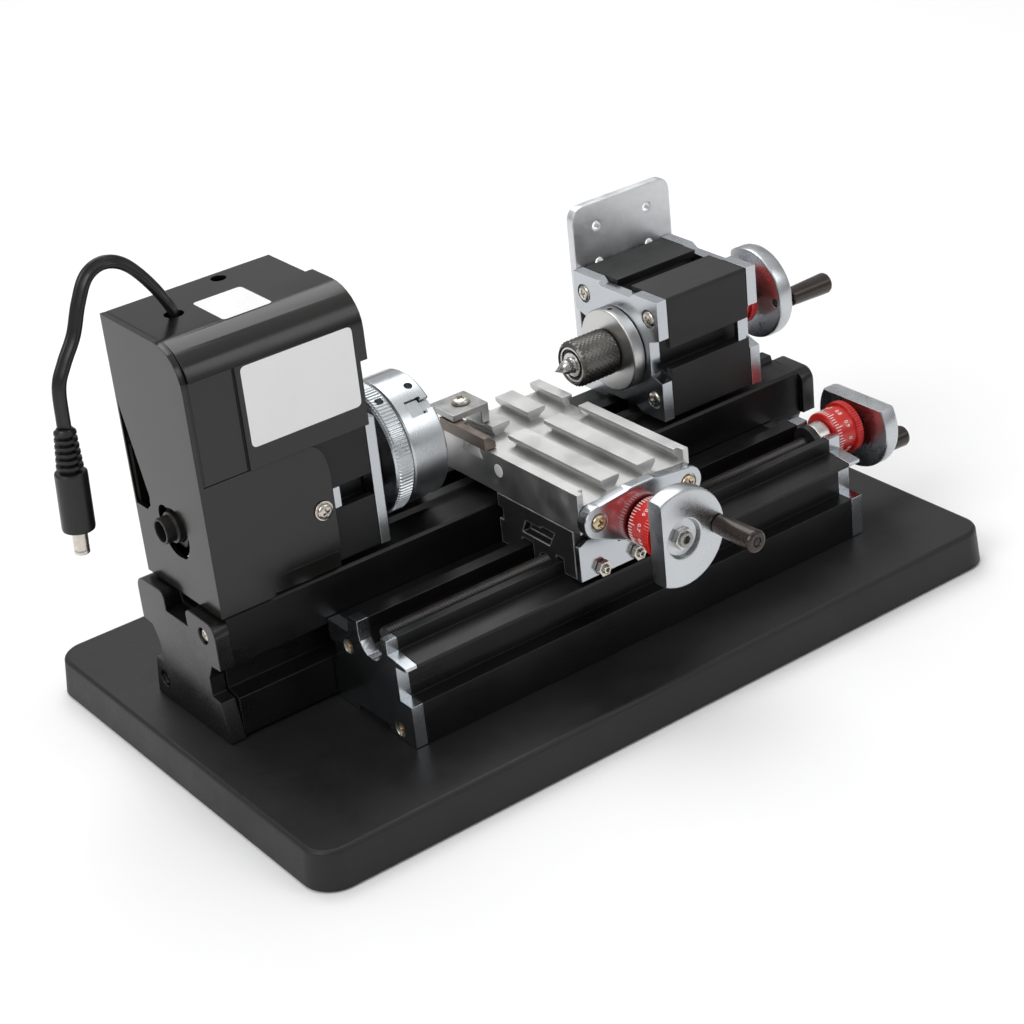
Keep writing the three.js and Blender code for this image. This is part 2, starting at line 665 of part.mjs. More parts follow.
// table: three T-slots along Y, one across, and a dovetail groove underneath
function crossTable() {
  const { front, back, bottom, top, floor } = table;
  const undercut = 2.3;
  const left = cross.x - slideHalf;
  const right = cross.x + slideHalf;
  let made = prism('y', rectangle(left, right, bottom, top), front, back);
  const cut = (centre, mouth, low) => [
    [centre - mouth, top + 1], [centre - mouth, top - 1.6], [centre - low, floor],
    [centre + low, floor], [centre + mouth, top - 1.6], [centre + mouth, top + 1],
  ];
  for (const centre of [cross.x - 17, cross.x, cross.x + 17]) {
    const outline = cut(centre, slotHalf, slotHalf + undercut);
    made = made.subtract(prism('y', outline, front - 1, back + 1));
  }
  made = made.subtract(prism('x', cut(-0.9, 5, 5 + 1.7), left - 1, right + 1));
  made = made.subtract(box(left + 2.5, right - 2.5, front - 1, front + 3, floor, top + 1));
  const groove = [
    [cross.x - railHalf + 2 - gap, bottom - 1], [cross.x + railHalf - 2 + gap, bottom - 1],
    [cross.x + railHalf + gap, railHigh + gap], [cross.x - railHalf - gap, railHigh + gap],
  ];
  return made.subtract(prism('y', groove, front - 1, back + 1));
}

const flange = { thick: 4.8, lobe: 21, lobeR: 6.4, lobeZ: 75.2, hub: 11 };
const flangeFace = table.front - gap - flange.thick;

function crossFlange() {
  const { lobe, lobeR, lobeZ, hub } = flange;
  const { x, z } = cross;
  const outline = [
    ...arc(x - lobe, lobeZ, lobeR, lobeR, 80, 250, 10),
    ...arc(x, z, hub, hub - 2, 215, 325, 8),
    ...arc(x + lobe, lobeZ, lobeR, lobeR, -70, 100, 10),
    [x + 9, 83.4], [x - 9, 83.4],
  ];
  let made = prism('y', outline, flangeFace, table.front - gap);
  for (const side of [-1, 1]) {
    made = made.subtract(rod('y', x + side * lobe, lobeZ, pinR, flangeFace - 1, table.front, 16));
  }
  return made.subtract(rod('y', x, z, screwR + gap, flangeFace - 1, table.front, 24));
}

add('cross_table', crossTable(), 'aluminium');
add('cross_flange', crossFlange(), 'zinc');
for (const [name, side] of [['left', -1], ['right', 1]]) {
  const x = cross.x + side * flange.lobe;
  add(`flange_screw_${name}`, spun('y', x, flange.lobeZ, [
    [flangeFace - 2, 0], [flangeFace - 2, 2.2], [flangeFace - 1.2, 3.2], [flangeFace - gap, 3.2],
    [flangeFace - gap, pinR - gap], [table.front - 0.5, pinR - gap], [table.front - 0.5, 0],
  ], 20), 'steel');
}
const crossWheelAt = flangeFace - 14.4;
const crossEnd = crossWheelAt - shaftOut;
crank('cross', flangeFace - 1, crossWheelAt);
add('cross_leadscrew', spun('y', cross.x, cross.z, [
  [saddle.back - 1, 0], [saddle.back - 1, screwR], [crossEnd, screwR], [crossEnd, 0],
]), 'steel');

// ---------------------------------------------------------------- tool clamp and bit
const holder = { x0: cross.x - 26.6, x1: cross.x - 10.2, y0: 8.6, y1: 24.4, top: 94.2 };
const clampScrew = { x: (holder.x0 + holder.x1) / 2 + 1, y: (holder.y0 + holder.y1) / 2, r: 1.8 };
const bit = { x0: holder.x0 - 0.6, size: 5, y0: -11.5, y1: 17.5 };

function toolClamp() {
  const { x0, x1, y0, y1, top } = holder;
  const low = table.top + gap;
  let made = box(x0, x1, y0, y1, low, top);
  made = made.subtract(box(x0 - 1, x1 - 3.6, y0 - 1, y1 + 1, low - 1, low + bit.size + gap));
  const { x, y, r } = clampScrew;
  return made.subtract(rod('z', x, y, r + gap, low - 1, top + 1, 16));
}

add('tool_clamp', toolClamp(), 'zinc');
add('tool_clamp_screw', spun('z', clampScrew.x, clampScrew.y, [
  [table.top + 0.5, 0], [table.top + 0.5, clampScrew.r], [holder.top + gap, clampScrew.r],
  [holder.top + gap, 3.6], [holder.top + 1.3, 3.4], [holder.top + 2.3, 2.2], [holder.top + 2.3, 0],
], 20), 'steel');

function toolBit() {
  const { x0, size, y0, y1 } = bit;
  const low = table.top + gap;
  const x1 = x0 + size;
  const high = low + size;
  // ground flat on the upper edge of the cutting end
  const ground = prism('y', [
    [x0 + 1.6, high + 1], [x1 + 1, high + 1], [x1 + 1, high - 1.6], [x1, high - 1.6],
  ], y0 - 1, 6);
  return box(x0, x1, y0, y1, low, high).subtract(ground);
}

add('tool_bit', toolBit(), 'tool');

// ---------------------------------------------------------------- tailstock
const quillR = 8;

function tailBody() {
  const left = tail.left + plateThick + gap;
  const right = tail.right - plateThick - gap;
  const made = stock(left, right, quillR + gap);
  // key that runs in the bed's top slot
  const keyHalf = slotHalf - gap;
  const keyLow = bed.rail - slotDeep + 1;
  const { y, z } = spindle;
  return made.add(box(left, right, y - keyHalf, y + keyHalf, keyLow, z - half + 1));
}

const guard = {
  left: 68, right: 118, bottom: 68, top: 143, corner: 5,
  front: spindle.y + half + gap, back: spindle.y + half + gap + 4,
};

function guardPlate() {
  const { left, right, bottom, top, corner, front, back } = guard;
  let made = prism('y', roundedRectangle(left, right, bottom, top, corner), front, back);
  for (const x of [left + 11.8, left + 37.8]) {
    for (const z of [76, 91.5, 117.5, 133]) {
      made = made.subtract(rod('y', x, z, 2, front - 1, back + 1, 12));
    }
  }
  return made;
}

add('tailstock_body', tailBody(), 'anodised');
const tailNotch = 6.3;
const tailFront = [tail.left, tail.left + plateThick];
const tailRear = [tail.right - plateThick, tail.right];
add('tailstock_front_plate', stockPlate(...tailFront, quillR + gap, tailNotch), 'zinc');
add('tailstock_rear_plate', stockPlate(...tailRear, screwR + gap, tailNotch), 'zinc');
add('tailstock_guard_plate', guardPlate(), 'aluminium');

const disc = { left: tail.left - gap - 5.4, right: tail.left - gap, r: 16.9 };
const collar = { left: 41.8, right: 60, r: 9.5 };
const axis = ['x', spindle.y, spindle.z];
add('tailstock_flange', ring(...axis, disc.r, quillR + gap, disc.left, disc.right, 40), 'aluminium');
add('tailstock_quill', ring(...axis, quillR, screwR + gap, collar.right + gap, 100), 'steel');
add('centre_collar', spun(...axis, [
  [collar.left, 5.4], [collar.left, collar.r - 1.1], [collar.left + 1.1, collar.r - 0.3],
  [collar.right - 1.5, collar.r], [collar.right, collar.r - 1], [collar.right, 2], [collar.left + 7, 2],
  [collar.left + 7, 5.4], [collar.left, 5.4],
]), 'black');
add('live_centre', spun(...axis, [
  [collar.left - 8, 0], [collar.left - 2.5, 2.9], [collar.left - 0.5, 2.9], [collar.left + 0.5, 5.1],
  [collar.left + 6.6, 5.1], [collar.left + 6.6, 0],
]), 'steel');
const tailEnd = wheelAt.tail + shaftOut;
crank('tail', tail.right + 0.8, wheelAt.tail);
add('tail_leadscrew', spun(...axis, [[72, 0], [72, screwR], [tailEnd, screwR], [tailEnd, 0]]), 'steel');

// ---------------------------------------------------------------- power lead
const leadR = 2.4;
const plug = { x: -169, top: 142, end: 104, tilt: 3.1, r: 5.9, grip: 16 };

function powerCable() {
  const { x, y } = cableExit;
  const path = new THREE.CatmullRomCurve3([
    [x, y, 160], [x, y, 168], [x - 6, y, 180], [-135.5, y, 190.8], [-143.5, y, 194.6],
    [-150.5, y, 191.8], [-155.2, y, 183.5], [-159.2, y, 173], [-164.4, y, 164.5],
    [-168, y, 156.5], [plug.x, y, plug.top + gap],
  ].map((p) => new THREE.Vector3(...p)));
  const round = new THREE.Shape(circle(0, 0, leadR, 10).map(([a, b]) => new THREE.Vector2(a, b)));
  const options = { steps: 26, extrudePath: path, bevelEnabled: false };
  return solid(new THREE.ExtrudeGeometry(round, options));
}

// the plug hangs a little off the vertical
function hung(made) {
  return made.rotate([0, plug.tilt, 0]).translate([plug.x, cableExit.y, plug.top]);
}

// heights below the top of the plug: body from 0 to plugEnd, metal tip to tipEnd
const plugEnd = plug.end - plug.top;
const tipEnd = plugEnd - 9.3;
const tipR = 2.75;
const tipBore = 1.2;
add('power_cable', powerCable(), 'rubber');
add('plug_body', hung(spun('z', 0, 0, [
  [plugEnd, 0], [plugEnd, plug.r - 0.4], [plugEnd + 0.6, plug.r], [-plug.grip, plug.r - 0.2],
  [1 - plug.grip, 4.9], [-gap, 4.3], [-gap, 0],
], 20)), 'rubber');
add('plug_tip', hung(spun('z', 0, 0, [
  [plugEnd - gap, 0], [plugEnd - gap, tipR], [tipEnd + 0.3, tipR], [tipEnd, tipR - 0.35],
  [tipEnd, tipBore], [plugEnd - 1 - gap, tipBore], [plugEnd - 1 - gap, 0],
], 20)), 'steel');

export default lathe;
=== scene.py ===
"""Looks of a miniature bench lathe, built round its CAD frame.

Shapes are made in millimetres in the part's own frame (+X from headstock to tailstock, +Y to the
back, +Z up), and make() turns them into metres. Places come from the CAD nodes' own boxes.
Profiles of turned shapes are (station, radius) points; outlines of slabs lie across their axis."""

import json
import math

import bmesh
import bpy
from mathutils import Matrix, Vector


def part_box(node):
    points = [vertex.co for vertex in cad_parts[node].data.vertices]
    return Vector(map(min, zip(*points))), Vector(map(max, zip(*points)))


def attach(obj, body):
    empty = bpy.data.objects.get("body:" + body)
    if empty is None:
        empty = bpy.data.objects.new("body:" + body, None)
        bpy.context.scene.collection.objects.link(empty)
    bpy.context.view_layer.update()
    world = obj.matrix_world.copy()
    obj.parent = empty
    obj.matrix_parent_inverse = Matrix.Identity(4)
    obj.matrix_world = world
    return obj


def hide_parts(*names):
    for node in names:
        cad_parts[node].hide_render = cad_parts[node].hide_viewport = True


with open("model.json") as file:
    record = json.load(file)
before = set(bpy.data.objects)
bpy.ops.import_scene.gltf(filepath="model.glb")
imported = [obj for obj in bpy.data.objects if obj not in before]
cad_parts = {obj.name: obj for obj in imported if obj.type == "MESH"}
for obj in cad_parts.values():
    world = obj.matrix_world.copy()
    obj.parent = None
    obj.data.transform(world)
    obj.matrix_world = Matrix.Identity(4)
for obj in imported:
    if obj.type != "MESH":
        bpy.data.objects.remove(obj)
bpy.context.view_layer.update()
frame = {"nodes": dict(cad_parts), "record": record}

MM = 0.001
X, Y, Z = "x", "y", "z"


def span(node):
    """Lowest and highest corner of a CAD node, in millimetres."""
    low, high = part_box(node)
    return low / MM, high / MM


def middle(node):
    low, high = span(node)
    return (low + high) / 2


SPINDLE = tuple(middle("live_centre").yz)
LONG = tuple(middle("long_dial").yz)
CROSS = tuple(middle("cross_dial").xz)
GAP = 0.3


# ------------------------------------------------ outlines
def arc(a, b, r, start, end, count=12):
    turns = [math.radians(start + (end - start) * i / count) for i in range(count + 1)]
    return [(a + r * math.cos(t), b + r * math.sin(t)) for t in turns]


def closed(outline):
    return outline + outline[:1]


def circle(a, b, r, count=48):
    return arc(a, b, r, 0, 360, count)[:-1]


def rectangle(a0, a1, b0, b1):
    return [(a0, b0), (a1, b0), (a1, b1), (a0, b1)]


def rounded(points, reach, loop=True, count=3):
    """The outline with each corner turned into a short curve."""
    out = []
    last = len(points) - 1
    for i, point in enumerate(points):
        if not loop and i in (0, last):
            out.append(tuple(point))
            continue
        corner = Vector(point)
        before = Vector(points[i - 1]) - corner
        after = Vector(points[(i + 1) % len(points)]) - corner
        cut = min(reach, before.length * 0.45, after.length * 0.45)
        a, b = corner + before.normalized() * cut, corner + after.normalized() * cut
        for k in range(count + 1):
            t = k / count
            out.append(tuple(a * (1 - t) ** 2 + corner * 2 * t * (1 - t) + b * t * t))
    return out


# ------------------------------------------------ solids
def linked(name, data):
    """A new object in the scene."""
    obj = bpy.data.objects.new(name, data)
    bpy.context.scene.collection.objects.link(obj)
    return obj


def spot(axis, a, b, station):
    return {X: (station, a, b), Y: (a, station, b), Z: (a, b, station)}[axis]


def skinned(bm, rings, loop=False):
    """Faces between neighbouring rings of equal length, or between a ring and a single point."""
    pairs = list(zip(rings, rings[1:]))
    if loop:
        pairs.append((rings[-1], rings[0]))
    for low, high in pairs:
        count = max(len(low), len(high))
        for i in range(count):
            j = (i + 1) % count
            corners = [low[i % len(low)], low[j % len(low)],
                       high[j % len(high)], high[i % len(high)]]
            bm.faces.new(list(dict.fromkeys(corners)))
    bmesh.ops.recalc_face_normals(bm, faces=bm.faces)
    return bm


def capped(bm, rings):
    """Rings skinned and closed at both ends."""
    skinned(bm, rings)
    bm.faces.new(rings[0])
    bm.faces.new(rings[-1])
    bmesh.ops.recalc_face_normals(bm, faces=bm.faces)
    return bm


def turned(axis, centre, profile, steps=96, radius=None):
    """Solid of revolution of (station, radius) points. radius(i, j, r) can roughen the surface."""
    bm = bmesh.new()
    loop = profile[0] == profile[-1]
    rings = []
    for j, (station, r) in enumerate(profile[:-1] if loop else profile):
        ring = []
        for i in range(steps if r else 1):
            t = math.tau * i / steps
            out = radius(i, j, r) if radius and r else r
            a, b = centre[0] + out * math.cos(t), centre[1] + out * math.sin(t)
            ring.append(bm.verts.new(spot(axis, a, b, station)))
        rings.append(ring)
    return skinned(bm, rings, loop)


def as_object(bm):
    mesh = bpy.data.meshes.new("shape")
    bm.to_mesh(mesh)
    bm.free()
    return linked("shape", mesh)


def as_solid(obj):
    """The evaluated mesh of a temporary object, which is then removed."""
    graph = bpy.context.evaluated_depsgraph_get()
    mesh = bpy.data.meshes.new_from_object(obj.evaluated_get(graph), depsgraph=graph)
    bm = bmesh.new()
    bm.from_mesh(mesh)
    bpy.data.meshes.remove(mesh)
    bpy.data.objects.remove(obj)
    return bm


def slab(axis, outline, low, high, holes=(), edge=0.3):
    """A plate between two stations with rounded rims; outline and holes lie across the axis."""
    curve = bpy.data.curves.new("outline", "CURVE")
    curve.dimensions, curve.fill_mode = "2D", "BOTH"
    curve.extrude = (high - low) / 2 - edge
    if edge:
        curve.bevel_depth, curve.bevel_resolution, curve.offset = edge, 1, -edge
    for loop in (outline, *holes):
        spline = curve.splines.new("POLY")
        spline.points.add(len(loop) - 1)
        for point, (a, b) in zip(spline.points, loop):
            point.co = (a, b, 0, 1)
        spline.use_cyclic_u = True
    bm = as_solid(linked("outline", curve))
    bmesh.ops.remove_doubles(bm, verts=bm.verts, dist=1e-4)
    centre = (low + high) / 2
    for v in bm.verts:
        v.co = spot(axis, v.co.x, v.co.y, v.co.z + centre)
    bmesh.ops.recalc_face_normals(bm, faces=bm.faces)
    if bm.calc_volume(signed=True) < 0:
        bmesh.ops.reverse_faces(bm, faces=bm.faces)
    return bm


def block(x0, x1, y0, y1, z0, z1):
    bm = bmesh.new()
    bmesh.ops.create_cube(bm, size=1)
    for v in bm.verts:
        share = v.co + Vector((0.5, 0.5, 0.5))
        v.co = (x0 + (x1 - x0) * share.x, y0 + (y1 - y0) * share.y, z0 + (z1 - z0) * share.z)
    return bm


def carved(bm, tools):
    """The solid less its tools."""
    body = as_object(bm)
    cutters = [as_object(tool) for tool in tools]
    for cutter in cutters:
        change = body.modifiers.new("cut", "BOOLEAN")
        change.operation, change.object, change.solver = "DIFFERENCE", cutter, "EXACT"
    out = as_solid(body)
    for cutter in cutters:
        bpy.data.objects.remove(cutter)
    return out


def moved(bm, matrix):
    bm.transform(matrix)
    return bm


def joined(solids):
    """Several separate shells as one mesh."""
    out = bmesh.new()
    for bm in solids:
        mesh = bpy.data.meshes.new("shell")
        bm.to_mesh(mesh)
        bm.free()
        out.from_mesh(mesh)
        bpy.data.meshes.remove(mesh)
    return out


def threaded(length, pitch, crest, root, steps=20):
    """A helical thread along +Z from 0, its crest and root radii being functions of height."""
    bm = bmesh.new()
    rows = 2 * (math.ceil(length / pitch) + 4)
    grid = []
    for m in range(rows + 1):
        row = []
        for i in range(steps):
            h = (m / 2 - 2 + i / steps) * pitch
            r = root(h) if m % 2 else crest(h)
            t = math.tau * i / steps
            row.append(bm.verts.new((r * math.cos(t), r * math.sin(t), h)))
        grid.append(row)
    for m in range(rows):
        for i in range(steps - 1):
            bm.faces.new((grid[m][i], grid[m][i + 1], grid[m + 1][i + 1], grid[m + 1][i]))
        if m + 3 <= rows:
            bm.faces.new((grid[m][-1], grid[m + 2][0], grid[m + 3][0], grid[m + 1][-1]))
    for station, out in ((0, -1), (length, 1)):
        cut = bmesh.ops.bisect_plane(bm, geom=bm.verts[:] + bm.edges[:] + bm.faces[:], dist=1e-5,
                                     plane_co=(0, 0, station), plane_no=(0, 0, out),
                                     clear_outer=True)
        loop = [item for item in cut["geom_cut"] if isinstance(item, bmesh.types.BMEdge)]
        bmesh.ops.edgeloop_fill(bm, edges=loop)
    bmesh.ops.triangulate(bm, faces=[face for face in bm.faces if len(face.verts) > 4])
    bmesh.ops.recalc_face_normals(bm, faces=bm.faces)
    return bm


def socketed(thread, r, length, deep, socket):
    """A thread with a plain end added to it that has a hexagon socket."""
    end = slab(Z, circle(0, 0, r, 40), length - deep, length, [circle(0, 0, socket, 6)], edge=0.25)
    return joined([thread, end])


def facing(direction, place):
    """Moves a shape built along +Z to a place, looking along a direction."""
    turn = Vector(direction).to_track_quat("Z", "Y").to_matrix().to_4x4()
    return Matrix.Translation(place) @ turn


# ------------------------------------------------ surfaces
class Graph:
    """The shader nodes of a material or a world."""

    def __init__(self, owner):
        owner.use_nodes = True
        self.tree = owner.node_tree

    def feed(self, node, values):
        """Sets a node's inputs, or links them to other nodes' outputs."""
        for key, value in values.items():
            if isinstance(value, bpy.types.NodeSocket):
                self.tree.links.new(value, node.inputs[key])
            else:
                node.inputs[key].default_value = value
        return node

    def add(self, kind, values=None, **settings):
        node = self.tree.nodes.new(kind)
        for key, value in settings.items():
            setattr(node, key, value)
        return self.feed(node, values or {})


class Surface(Graph):
    """A procedural material built node by node."""

    def __init__(self, name):
        self.material = bpy.data.materials.new(name)
        super().__init__(self.material)
        self.shader = self.tree.nodes["Principled BSDF"]
        self.place = self.add("ShaderNodeTexCoord").outputs["Object"]

    def sum(self, operation, a, b=0.0):
        return self.add("ShaderNodeMath", {0: a, 1: b}, operation=operation).outputs[0]

    def spread(self, value, low, high, start=0.3, end=0.7):
        """Maps a value's middle range to new limits."""
        values = {"Value": value, "From Min": start, "From Max": end, "To Min": low,
                  "To Max": high}
        return self.add("ShaderNodeMapRange", values).outputs["Result"]

    def noise(self, scale, detail=3.0, stretch=(1, 1, 1), place=None):
        at = self.add("ShaderNodeMapping", {"Vector": place or self.place, "Scale": stretch})
        values = {"Vector": at.outputs[0], "Scale": scale, "Detail": detail, "Roughness": 0.6}
        return self.add("ShaderNodeTexNoise", values).outputs["Fac"]

    def blend(self, share, first, second):
        values = {"Fac": share, "Color1": first, "Color2": second}
        return self.add("ShaderNodeMixRGB", values).outputs[0]

    def rings(self, axis, centre):
        """Station and radius about an axis, so that noise on it looks like turning marks."""
        a, b = {X: ("Y", "Z"), Y: ("X", "Z"), Z: ("X", "Y")}[axis]
        at = self.add("ShaderNodeSeparateXYZ", {0: self.place}).outputs
        da = self.sum("SUBTRACT", at[a], centre[0] * MM)
        db = self.sum("SUBTRACT", at[b], centre[1] * MM)
        squares = self.sum("ADD", self.sum("MULTIPLY", da, da), self.sum("MULTIPLY", db, db))
        radius = self.sum("SQRT", squares)
        values = {"X": at[axis.upper()], "Y": radius, "Z": 0.0}
        return self.add("ShaderNodeCombineXYZ", values).outputs[0]


def surface(name, colour, rough, metal=0.0, tint=0.12, cloud=40.0, grain=0.1, grain_scale=2500.0,
            stretch=(1, 1, 1), wear=None, worn=0.5, edge=0.25, marks=None, coat=0.0, swing=0.25,
            specular=0.5):
    """Cloudy colour and roughness, fine grain, and rounded edges painted a lighter colour, which
    stands partly for rubbed-off finish and partly for painted highlight along the rims.

    tint and swing are how far colour and roughness wander, grain the depth of the fine bump,
    wear the lighter colour painted on edges, worn how much
    of it shows, and marks an (axis, centre) for turning marks."""
    s = Surface(name)
    clouds = s.noise(cloud, 5.0)
    place = s.rings(*marks) if marks else None
    fine = s.noise(grain_scale, 2.0, stretch, place)
    dark = (*[c * (1 - tint) for c in colour], 1)
    pale = (*[min(c * (1 + tint), 1) for c in colour], 1)
    paint = s.blend(s.spread(clouds, 0.0, 1.0), dark, pale)
    roughness = s.sum("ADD", s.spread(clouds, -rough * swing, rough * swing),
                      s.spread(fine, rough * (1 - swing / 2), rough * (1 + swing / 2)))
    round_edge = s.add("ShaderNodeBevel", {"Radius": edge * MM}, samples=4)
    bump = s.add("ShaderNodeBump", {"Strength": min(grain, 1.0), "Distance": 0.05 * MM,
                                    "Height": fine, "Normal": round_edge.outputs[0]})
    # Edges are painted lighter here: part rubbed-off finish, part painted highlight along the
    # rims.
    if wear:
        flat = s.add("ShaderNodeNewGeometry").outputs["Normal"]
        wide = s.add("ShaderNodeBevel", {"Radius": edge * 1.8 * MM}, samples=4).outputs[0]
        bend = s.add("ShaderNodeVectorMath", {0: flat, 1: wide}, operation="DOT_PRODUCT")
        corner = s.spread(bend.outputs["Value"], worn, 0.0, 0.72, 0.985)
        patchy_wear_and_highlight = s.sum("MULTIPLY", corner, s.spread(s.noise(160.0, 4.0), 0.35, 1.0))
        paint = s.blend(patchy_wear_and_highlight, paint, (*wear, 1))
    s.feed(s.shader, {"Base Color": paint, "Roughness": roughness, "Metallic": metal,
                      "Coat Weight": coat, "Coat Roughness": 0.12, "Normal": bump.outputs[0],
                      "Specular IOR Level": specular})
    return s.material


LENGTHWAYS = (0.02, 1, 1)
SURFACES = {}


def define(name, slot_name, *looks, **more):
    """Registers a surface under its name, with the slot of the record that it stands for."""
    SURFACES[name] = (slot_name, surface(name, *looks, **more))


define("tray", "tray", (0.010, 0.010, 0.0105), 0.46, grain=0.3, grain_scale=1800, tint=0.2,
       cloud=25, edge=0.8, specular=0.35)
# profile, stock and saddle are black anodised; their lighter edges are part rubbed-off anodising
# and part painted highlight, the saddle's near-white edges most of all.
define("profile", "black_anodised", (0.005, 0.005, 0.005), 0.34, grain=0.12, stretch=LENGTHWAYS,
       wear=(0.14, 0.14, 0.14), worn=0.35, tint=0.25, cloud=30, edge=0.3, specular=0.35)
define("stock", "black_anodised", (0.009, 0.009, 0.009), 0.42, grain=0.16, stretch=LENGTHWAYS,
       wear=(0.14, 0.14, 0.14), worn=0.3, tint=0.25, edge=0.3, specular=0.35)
define("saddle", "black_anodised", (0.028, 0.028, 0.028), 0.36, 0.35, grain=0.25,
       stretch=(1, 0.02, 1), wear=(0.85, 0.85, 0.85), worn=1.0, tint=0.3, edge=0.55)
define("plastic", "dark_plastic", (0.0065, 0.006, 0.0052), 0.2, grain=0.04, tint=0.15, cloud=20,
       edge=0.3, swing=0.3)
define("cap", "dark_plastic", (0.0045, 0.0045, 0.004), 0.25, grain=0.08, tint=0.2, edge=0.5)
define("zinc", "zinc_plate", (0.5, 0.525, 0.55), 0.22, 1.0, tint=0.05, cloud=45, grain=0.03,
       grain_scale=1400, wear=(0.8, 0.82, 0.84), worn=0.25, edge=0.3, swing=0.2)
define("wheel", "zinc_plate", (0.55, 0.57, 0.585), 0.3, 1.0, tint=0.05, cloud=60, grain=0.05,
       wear=(0.8, 0.81, 0.82), worn=0.2, edge=0.3)
define("table", "light_aluminium", (0.6, 0.6, 0.59), 0.42, 1.0, tint=0.08, cloud=60, grain=0.6,
       grain_scale=2600, edge=0.3, wear=(0.85, 0.85, 0.85), worn=0.5)
# A light, mostly non-metallic grey for the table's pin: a painted reflection standing in for the
# bright glint of the metal plug.
define("pin", "light_aluminium", (0.72, 0.72, 0.7), 0.4, 0.25, tint=0.08, cloud=200, grain=0.2)
define("guard", "light_aluminium", (0.7, 0.71, 0.72), 0.42, 1.0, tint=0.12, cloud=90, grain=0.25,
       grain_scale=900, edge=0.4)
define("thread", "bright_steel", (0.3, 0.295, 0.28), 0.3, 1.0, tint=0.2, cloud=200, grain=0.1,
       edge=0.1)
define("disc", "light_aluminium", (0.6, 0.6, 0.59), 0.34, 1.0, tint=0.05, grain=0.2,
       marks=(X, SPINDLE), edge=0.3)
define("chuck", "bright_steel", (0.6, 0.63, 0.65), 0.28, 1.0, tint=0.06, grain=0.08,
       marks=(X, SPINDLE), edge=0.25, wear=(0.85, 0.86, 0.87), worn=0.4)
define("ridged", "bright_steel", (0.6, 0.63, 0.65), 0.3, 1.0, tint=0.08, grain=0.05, edge=0.2,
       wear=(0.85, 0.86, 0.87), worn=0.4)
define("steel", "bright_steel", (0.58, 0.57, 0.55), 0.28, 1.0, tint=0.12, cloud=120, grain=0.1,
       edge=0.15)
define("screw", "bright_steel", (0.62, 0.58, 0.52), 0.25, 1.0, tint=0.18, cloud=300, grain=0.08,
       edge=0.12)
define("brassy", "bright_steel", (0.6, 0.5, 0.33), 0.32, 1.0, tint=0.2, cloud=300, grain=0.1,
       edge=0.12)
define("blued", "black_steel", (0.022, 0.02, 0.019), 0.36, 0.4, tint=0.25, cloud=120, grain=0.12,
       wear=(0.2, 0.19, 0.18), worn=0.4, edge=0.2)
define("knurl", "black_steel", (0.13, 0.125, 0.115), 0.3, 0.9, tint=0.2, cloud=150, grain=0.1,
       edge=0.1)
define("red", "red_dial", (0.52, 0.014, 0.012), 0.3, 0.1, tint=0.1, cloud=80, grain=0.08, edge=0.2,
       coat=0.3)
define("marks", "red_dial", (0.75, 0.73, 0.7), 0.5, tint=0.05, grain=0.05, edge=0.02)
define("handle", "brown_plastic", (0.03, 0.02, 0.016), 0.27, 0.35, tint=0.2, cloud=90, grain=0.06,
       edge=0.2, coat=0.2)
define("tool", "tool_steel", (0.2, 0.165, 0.14), 0.36, 0.85, tint=0.25, cloud=200, grain=0.3,
       stretch=(1, 0.05, 1), edge=0.15, wear=(0.55, 0.5, 0.45), worn=0.5)
define("clamp", "zinc_plate", (0.42, 0.42, 0.41), 0.36, 1.0, tint=0.15, cloud=160, grain=0.25,
       wear=(0.75, 0.75, 0.74), worn=0.5, edge=0.25)
define("rubber", "black_rubber", (0.008, 0.008, 0.008), 0.3, grain=0.1, tint=0.2, cloud=60,
       edge=0.2, specular=0.4)
define("label", "dark_plastic", (0.84, 0.84, 0.84), 0.32, tint=0.02, cloud=25, grain=0.02,
       edge=0.05)


# ------------------------------------------------ pieces
def make(name, bm, body, finish, nodes=(), sharp=35):
    """Turns a solid in millimetres into a finished piece that rides on a CAD body."""
    bm.transform(Matrix.Scale(MM, 4))
    mesh = bpy.data.meshes.new(name)
    bm.to_mesh(mesh)
    bm.free()
    mesh.polygons.foreach_set("use_smooth", [True] * len(mesh.polygons))
    mesh.set_sharp_from_angle(angle=math.radians(sharp))
    slot_name, material = SURFACES[finish]
    mesh.materials.append(material)
    obj = linked(name, mesh)
    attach(obj, body)
    if nodes:
        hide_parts(*nodes)
    even_normals(obj)
    return obj


def even_normals(obj):
    """Keeps large faces flat-looking beside rounded edges. It has to be the last modifier."""
    for old in [m for m in obj.modifiers if m.type == "WEIGHTED_NORMAL"]:
        obj.modifiers.remove(old)
    normals = obj.modifiers.new("normals", "WEIGHTED_NORMAL")
    normals.keep_sharp, normals.weight = True, 80


BODY_OF = {node: body for body, nodes in frame["record"]["behaviour"]["bodies"].items()
           for node in nodes}


def from_cad(node):
    """A CAD node's own solid, its flat faces merged and triangulated afresh."""
    bm = bmesh.new()
    bm.from_mesh(frame["nodes"][node].data)
    bm.transform(Matrix.Scale(1 / MM, 4))
    bmesh.ops.remove_doubles(bm, verts=bm.verts, dist=1e-3)
    limit = math.radians(0.6)
    bmesh.ops.dissolve_limit(bm, angle_limit=limit, verts=bm.verts, edges=bm.edges)
    bmesh.ops.triangulate(bm, faces=bm.faces, ngon_method="EAR_CLIP")
    return bm


